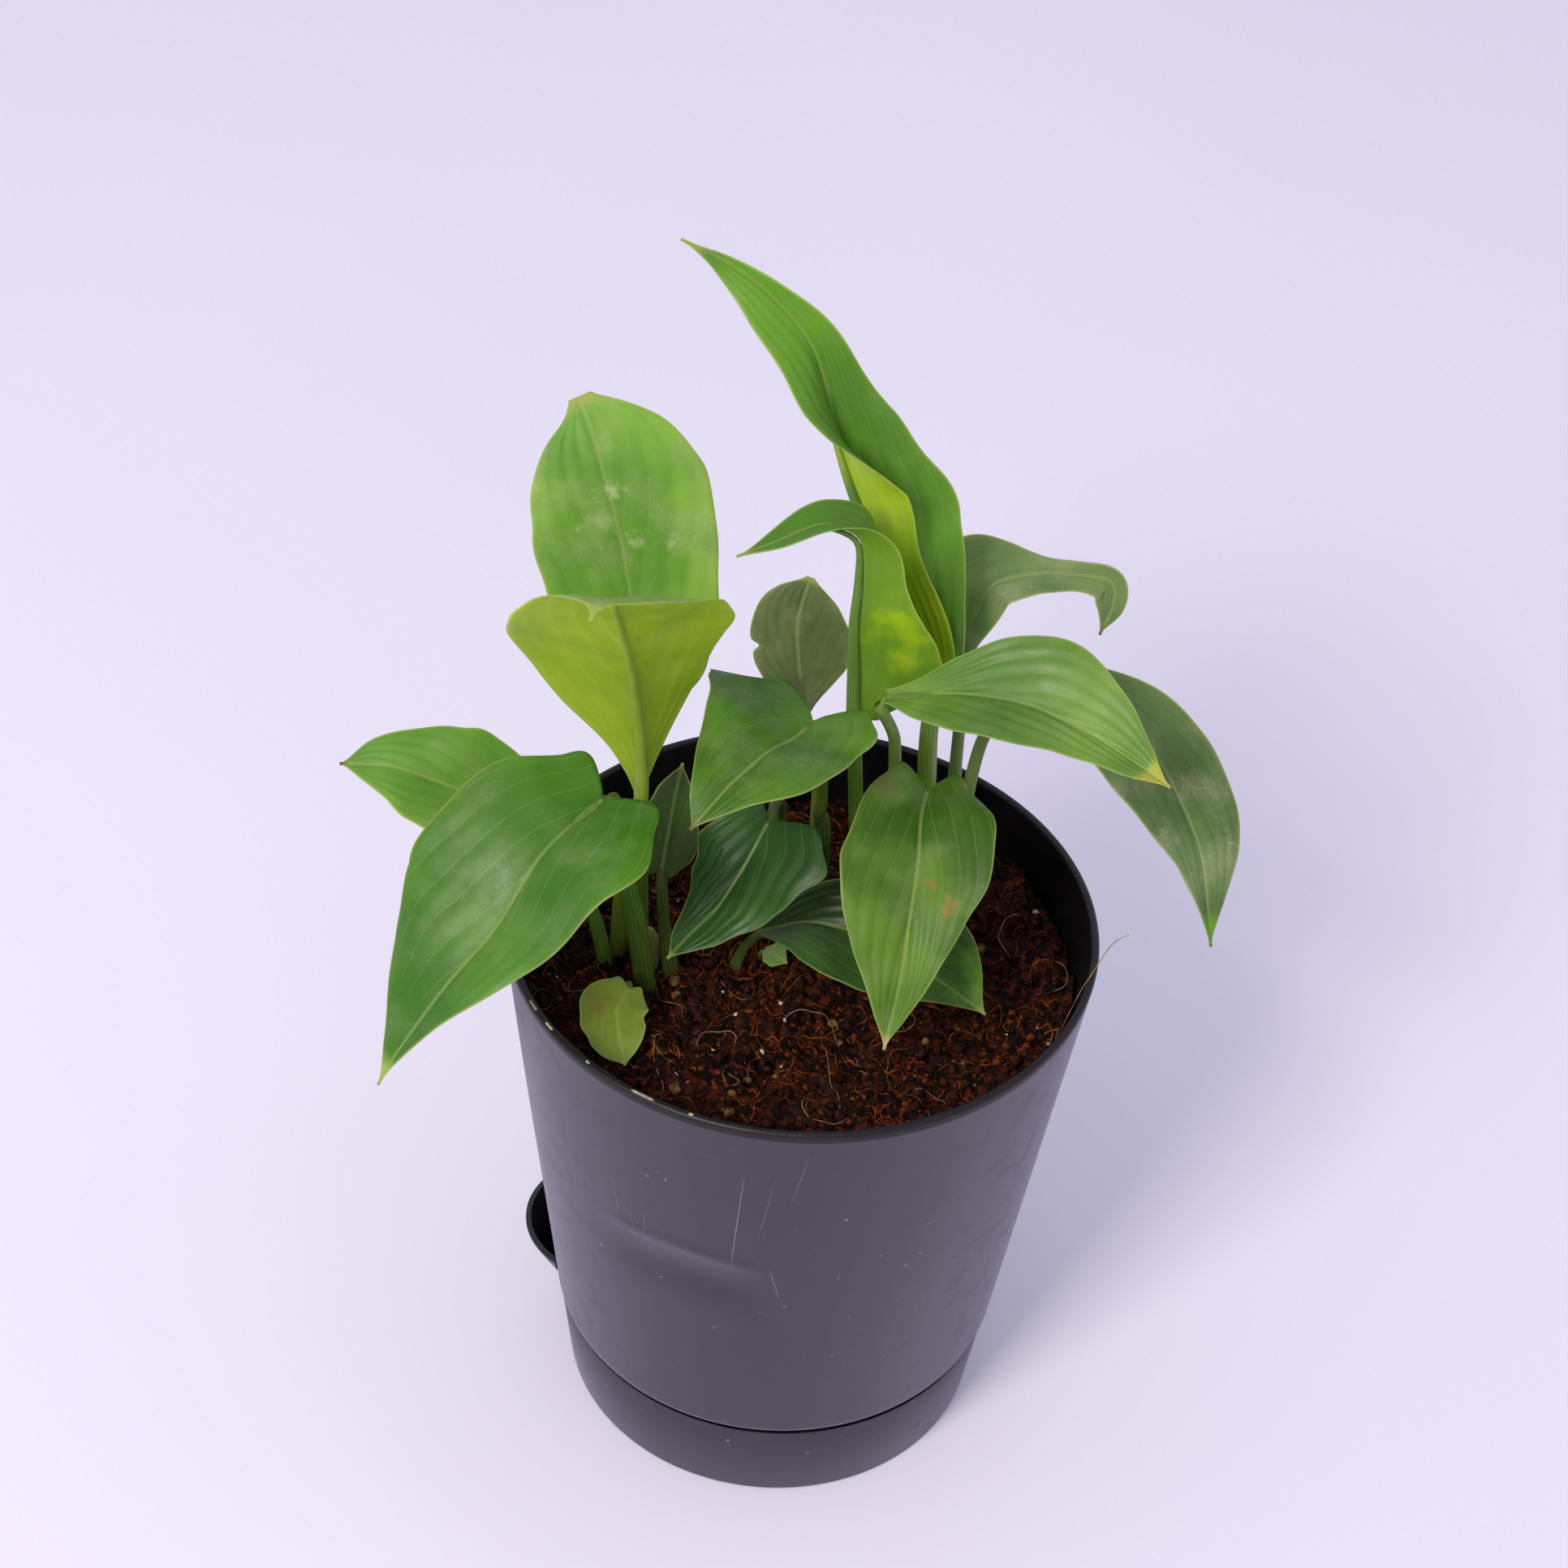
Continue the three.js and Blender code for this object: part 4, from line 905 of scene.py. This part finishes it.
def reservoir_tray():
    skin = pot_skin("matt_moulded_tray_plastic", "#2e2a35", "#29252f", "#58515f")
    # Black plastic of the spout; on the tray's shoulder and neck it is painted shade along the
    # seam.
    dark = plain_skin("black_spout_plastic_and_seam_shade", "#0b1012", "#141a1c", 5, 0.3)
    top = SEAM_HEIGHT - GAP
    shoulder = top - SHOULDER_DROP
    shell = ([(0, 0), (TRAY_BASE_RADIUS - 1.2, 0)]
             + arc((TRAY_BASE_RADIUS - 0.9, 0.9), 0.9, -60, 0, 4)
             + [(TRAY_TOP_RADIUS + 0.3, top - 2.0), (TRAY_TOP_RADIUS + 0.1, shoulder),
                (NECK_RADIUS, shoulder), (NECK_RADIUS, NECK_TOP - 0.3),
                (NECK_RADIUS - 0.3, NECK_TOP),
                (NECK_RADIUS - TRAY_WALL, NECK_TOP), (TRAY_BASE_RADIUS - TRAY_WALL, TRAY_FLOOR),
                (0, TRAY_FLOOR)])
    points, faces = capped(shell)
    # Shoulder and neck rows under the planter's skirt: painted shade.
    seam_shade_from = [z for _, z in shell].index(shoulder) - 1
    kinds = [1 if seam_shade_from <= n // POT_SIDES < seam_shade_from + 2 else 0 for n in range(len(faces))]
    tray = mesh_piece("moulded_tray", points, faces, [skin, dark], kinds)
    lip = SPOUT_LIP
    wall_levels = [(SPOUT_FOOT, 0), (18, 0), (lip - 0.6, 0), (lip - 0.15, -0.25), (lip, -0.7)]
    spout_points, spout_faces = spout_solid(wall_levels)
    spout = mesh_piece("spout_wall", spout_points, spout_faces, [skin, dark],
                       [1] * len(spout_faces))
    cavity = mesh_piece("cavity", *capped(
        [(0, TRAY_FLOOR), (TRAY_BASE_RADIUS - TRAY_WALL, TRAY_FLOOR),
         (NECK_RADIUS - TRAY_WALL, NECK_TOP), (NECK_RADIUS - TRAY_WALL, 40), (0, 40)]),
        [skin, dark])
    room = mesh_piece("room", *capped(
        [(0, top), (SEAM_RADIUS + GAP, top), (wall_radius(40) + GAP + 0.1, 40), (0, 40)]),
        [skin, dark])
    bore_levels = [(8, -SPOUT_WALL), (lip - 0.7, -SPOUT_WALL), (lip + 1, -SPOUT_WALL + 0.6)]
    bore_points, bore_faces = spout_solid(bore_levels)
    bore = mesh_piece("bore", bore_points, bore_faces, [skin, dark], [1] * len(bore_faces))
    joined(spout, cavity, "DIFFERENCE")
    joined(spout, room, "DIFFERENCE")
    joined(tray, spout, "UNION")
    joined(tray, bore, "DIFFERENCE")
    tray.data.set_sharp_from_angle(angle=math.radians(40))
    return owned(tray, "tray_plastic", "reservoir_tray")


# ---------- compost ----------


def soil_height(x, y):
    swell = 1.3 * np.sin(0.09 * x + 1.2) * np.cos(0.08 * y - 0.4)
    lumps = 0.6 * np.sin(0.31 * x - 0.22 * y) + 0.5 * np.cos(0.27 * y + 0.19 * x)
    away = np.hypot(x, y)
    heaped = 3.2 * np.clip((x - 8) / 45, 0, 1) ** 1.5 * np.clip((away - 20) / 35, 0, 1)
    return SOIL_LEVEL + swell + lumps - 0.5 * (away / 60) ** 4 + heaped


def cell_noise(x, y, size, seed):
    """Smooth random field with bumps about size millimetres across."""
    maker = np.random.default_rng(seed)
    total = np.zeros_like(x)
    for _ in range(9):
        turn = maker.uniform(0, np.pi)
        pace = 2 * np.pi / size * maker.uniform(0.6, 1.5)
        total += np.sin((x * math.cos(turn) + y * math.sin(turn)) * pace
                        + maker.uniform(0, 6.3))
    return total / 3


def crumbly(x, y):
    rough = 0.9 * cell_noise(x, y, 8, 3) + 0.55 * cell_noise(x, y, 3.4, 4)
    return soil_height(x, y) + rough + 0.22 * cell_noise(x, y, 1.6, 5)


def compost():
    rings, sides = 120, 300
    edge = wall_radius(SOIL_LEVEL - 1) - WALL - 0.2
    radius = np.linspace(0.3, edge, rings)[:, None] * np.ones(sides)
    angle = np.linspace(0, 2 * np.pi, sides, endpoint=False)[None] * np.ones((rings, 1))
    x, y = radius * np.cos(angle), radius * np.sin(angle)
    z = crumbly(x, y)
    top = np.stack([x, y, z], -1)[::-1].reshape(-1, 3)
    low = 38.0
    foot = np.stack([wall_radius(low) * 0.93 * np.cos(angle[0]),
                     wall_radius(low) * 0.93 * np.sin(angle[0]), np.full(sides, low)], 1)
    points = np.vstack([foot, top])
    faces = grid_faces(rings + 1, sides, wrap=True)
    faces.append(tuple(range(sides - 1, -1, -1)))
    faces.append(tuple(rings * sides + n for n in range(sides)))
    skin = compost_skin("damp_coir_compost")
    piece = mesh_piece("compost", points, faces, [skin])
    return owned(piece, "potting_soil", "soil")


def scatter_spot(dice, reach=SOIL_REACH):
    while True:
        x, y = dice.uniform(-reach, reach), dice.uniform(-reach, reach)
        if math.hypot(x, y) < reach:
            return x, y


def lumps(name, count, small, large, skin, seed, sunk=0.3, squash=0.7):
    """Scattered crumbs, each a rounded cube knocked out of shape."""
    dice = random.Random(seed)
    corner = np.array([(x, y, z) for x in (-1, 0, 1) for y in (-1, 0, 1) for z in (-1, 0, 1)
                       if (x, y, z) != (0, 0, 0)], float)
    index = {tuple(c): n for n, c in enumerate(corner.astype(int).tolist())}
    shape = unit(corner)
    quads = []
    for axis in range(3):
        for way in (-1, 1):
            for u in (-1, 0):
                for v in (-1, 0):
                    ring = [(u, v), (u + 1, v), (u + 1, v + 1), (u, v + 1)]
                    ring = ring if way > 0 else ring[::-1]
                    keys = []
                    for a, b in ring:
                        key = [0, 0, 0]
                        key[axis] = way
                        key[(axis + 1) % 3], key[(axis + 2) % 3] = a, b
                        keys.append(index[tuple(key)])
                    quads.append(tuple(keys))
    points, faces = [], []
    for _ in range(count):
        x, y = scatter_spot(dice)
        size = small + (large - small) * dice.random() ** 2.2
        grow = np.array([dice.uniform(0.7, 1.35) for _ in range(26)])[:, None]
        turn = Matrix.Rotation(dice.uniform(0, 6.3), 3, "Z") @ Matrix.Rotation(
            dice.uniform(-0.5, 0.5), 3, "X")
        body = shape * grow * size * np.array([1, dice.uniform(0.6, 1), squash])
        body = body @ np.array(turn).T
        z = float(crumbly(np.array(x), np.array(y))) + size * (0.5 - sunk)
        start = len(points)
        points += (body + np.array([x, y, z])).tolist()
        faces += [tuple(n + start for n in q) for q in quads]
    piece = mesh_piece(name, points, faces, [skin])
    return owned(piece, "potting_soil")


def strand(points, radius, sides=5):
    """Thin round thread through points, tapered at both ends."""
    shares = np.linspace(0, 1, max(len(points) * 4, 8))
    place, heading, _ = path_points(points, shares)
    side = unit(np.cross(heading, np.array([0.3, 0.2, 0.93])))
    up = np.cross(side, heading)
    thick = radius * np.clip(np.minimum(shares, 1 - shares) * 8, 0.35, 1)
    return tube(place, side, up, thick, thick, sides)


def strands(name, count, length, radius, skin, seed, bend=0.7, lift=0.8, spots=None):
    """Loose fibres that lie in curls over the compost."""
    dice = random.Random(seed)
    points, faces = [], []
    for n in range(count):
        x, y = spots[n % len(spots)] if spots else scatter_spot(dice, FIBRE_REACH)
        if spots:
            x, y = x + dice.gauss(0, 3.5), y + dice.gauss(0, 2.5)
        way = dice.uniform(0, 6.3)
        turn = dice.uniform(-bend, bend)
        step = dice.uniform(*length) / (FIBRE_STEPS - 1)
        rise = dice.uniform(0.0, lift)
        trail = []
        for k in range(FIBRE_STEPS):
            away = math.hypot(x, y)
            if away > FIBRE_STOP:
                x, y = x * FIBRE_STOP / away, y * FIBRE_STOP / away
            height = float(crumbly(np.array(x), np.array(y)))
            arch = rise * math.sin(math.pi * k / (FIBRE_STEPS - 1))
            trail.append((x, y, height + 0.15 + arch))
            way += turn + dice.gauss(0, 0.25)
            x, y = x + step * math.cos(way), y + step * math.sin(way)
        body, quads = strand(trail, dice.uniform(*radius))
        start = len(points)
        points += body.tolist()
        faces += [tuple(i + start for i in q) for q in quads]
    piece = mesh_piece(name, points, faces, [skin])
    return owned(piece, "potting_soil")


def placed_strands(name, trails, radius, skin):
    """Threads laid along given points."""
    points, faces = [], []
    for trail in trails:
        body, quads = strand(trail, radius)
        start = len(points)
        points += body.tolist()
        faces += [tuple(i + start for i in q) for q in quads]
    piece = mesh_piece(name, points, faces, [skin])
    return owned(piece, "potting_soil")


# ---------- crowns ----------


def crown(name, centre, radius, rise, skin):
    """Short stem wrapped in old leaf sheaths, ribbed lengthways and domed at the top."""
    foot, top = SOIL_LEVEL - 8, SOIL_LEVEL + rise
    profile = [(0, foot), (radius * 0.8, foot), (radius, foot + 3),
               (radius, foot + 7), (radius * 0.98, top - 5), (radius * 0.8, top - 2.5),
               (radius * 0.55, top - 1), (radius * 0.2, top - 0.1), (0, top)]
    points, faces = capped(profile, 40)
    away = np.arctan2(points[:, 1], points[:, 0])
    ribs = 1 + 0.05 * np.sin(9 * away) + 0.08 * np.sin(2 * away + points[:, 2] * 0.4)
    points[:, :2] *= ribs[:, None]
    points[:, :2] += np.array(centre)
    piece = mesh_piece("grown_" + name, points, faces, [skin])
    return owned(piece, "crown", name)


# ---------- build ----------

for leaf in LEAVES:
    leaf_piece(leaf)

planter()
reservoir_tray()
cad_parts["wick_basket"].data.materials.clear()
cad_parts["wick_basket"].data.materials.append(
    plain_skin("moulded_basket_plastic", "#151518", "#1e1e22", 5, 0.5))

scar("wall_scratches", [
    (-125, 89, 107, -1, 0.18), (-121, 90, 97, -2, 0.16), (-118.5, 89, 97, 0, 0.14),
    (-99, 89, 121, 2, 0.26), (-94, 98, 122, 3, 0.12), (-88.5, 79, 90, -2.5, 0.22),
    (-88, 112, 132, 3, 0.12), (-120, 112, 112.6, 3, 0.5), (-106, 126, 126.6, 4, 0.5)],
    "#77727f")

compost()
crumb_skin = compost_skin("coir_crumbs")
rust_skin = plain_skin("rust_coir_crumbs", "#3a1206", "#7a3512", 1.2, 0.8, shine=0.15)
perlite_skin = plain_skin("expanded_perlite", "#cfc9bb", "#a49c8c", 1.0, 0.85)
fibre_skin = plain_skin("dry_coir_fibre", "#431a08", "#9a4c1a", 3, 0.75, shine=0.15)
root_skin = plain_skin("dry_root_hairs", "#6e4c30", "#a88a62", 4, 0.7, shine=0.2)
lumps("compost_crumbs", 1500, 0.3, 1.9, crumb_skin, 11)
lumps("rust_crumbs", 1300, 0.2, 1.0, rust_skin, 12)
clod_skin = plain_skin("tan_coir_clods", "#4a2f18", "#8a6a40", 1.5, 0.85, shine=0.15)
lumps("tan_clods", 90, 0.4, 1.7, clod_skin, 14)
lumps("perlite_grains", 60, 0.3, 0.8, perlite_skin, 13)
strands("coir_fibres", 560, (3, 11), (0.07, 0.16), fibre_skin, 21)
strands("fine_roots", 34, (10, 28), (0.08, 0.13), root_skin, 22, bend=0.9, lift=2.2)
strands("coir_tuft", 40, (6, 15), (0.14, 0.26), fibre_skin, 23, lift=4.0,
        spots=[(-16, 3), (-7, 50), (8, 50)])
placed_strands("rim_root", [
    [(57, -17, 124), (60.5, -14, 134), (62.5, -13, 139), (66.5, -9, 145), (70, -7.5, 147)]],
    0.12, root_skin)

worn_skin = plain_skin("chipped_rim_plastic", "#b3a68c", "#8a7f6c", 1.0, 0.8)
placed_strands("rim_scuffs", [rim_arc(-150, -147), rim_arc(-143.5, -141), rim_arc(-120, -115),
                              rim_arc(-131, -130), rim_arc(-108, -107)], 0.32, worn_skin)

crown_skin = plain_skin("old_leaf_sheath", "#6f7f3a", "#a38f58", 3, 0.6, 1.42)
for name, centre, radius, rise in CROWNS:
    crown(name, centre, radius, rise, crown_skin)

# ---------- floor, light and camera, in metres and watts ----------

FLOOR_REACH = 4000         # millimetres, like every mesh
PLANT_MIDDLE = (0, 0, 0.15)
KEY_PLACE = (-0.7, -1.15, 1.3)
KEY_SIZE = 0.5
KEY_POWER = 21.0
SKY_STRENGTH = 0.85
CAMERA_PLACE = (0, -0.52158, 0.62196)
LENS = 75.0
SENSOR = 36.0

floor_skin = plain_skin("pale_matt_board", "#e6e6f4", "#e9e8f6", 400, 0.85)
reach = FLOOR_REACH
corners = [(-reach, -reach, 0), (reach, -reach, 0), (reach, reach, 0), (-reach, reach, 0)]
mesh_piece("floor", corners, [(0, 1, 2, 3)], [floor_skin])


def soft_light(name, at, target, size, power, colour):
    """Square lamp that looks at target."""
    lamp = bpy.data.lights.new(name, "AREA")
    lamp.size, lamp.energy, lamp.color = size, power, linear(colour)[:3]
    made = bpy.data.objects.new(name, lamp)
    made.location = at
    made.rotation_euler = (Vector(target) - Vector(at)).to_track_quat("-Z", "Y").to_euler()
    bpy.context.scene.collection.objects.link(made)


soft_light("key", KEY_PLACE, PLANT_MIDDLE, KEY_SIZE, KEY_POWER, "#fff4e8")

scene = bpy.context.scene
scene.view_settings.view_transform = "Standard"
sky = bpy.data.worlds.new("sky")
sky.use_nodes = True
sky.node_tree.nodes["Background"].inputs[0].default_value = linear("#ebe6f6")
sky.node_tree.nodes["Background"].inputs[1].default_value = SKY_STRENGTH
scene.world = sky

right = Vector((0.99680, 0.05832, 0.05463))
up = Vector((-0.07943, 0.64799, 0.75749))
forward = Vector((-0.00878, 0.75941, -0.65055))
lens = bpy.data.cameras.new("camera")
lens.lens, lens.sensor_width = LENS, SENSOR
camera = bpy.data.objects.new("camera", lens)
turn = Matrix((right, up, -forward)).transposed().to_4x4()
camera.matrix_world = Matrix.Translation(CAMERA_PLACE) @ turn
scene.collection.objects.link(camera)
scene.camera = camera
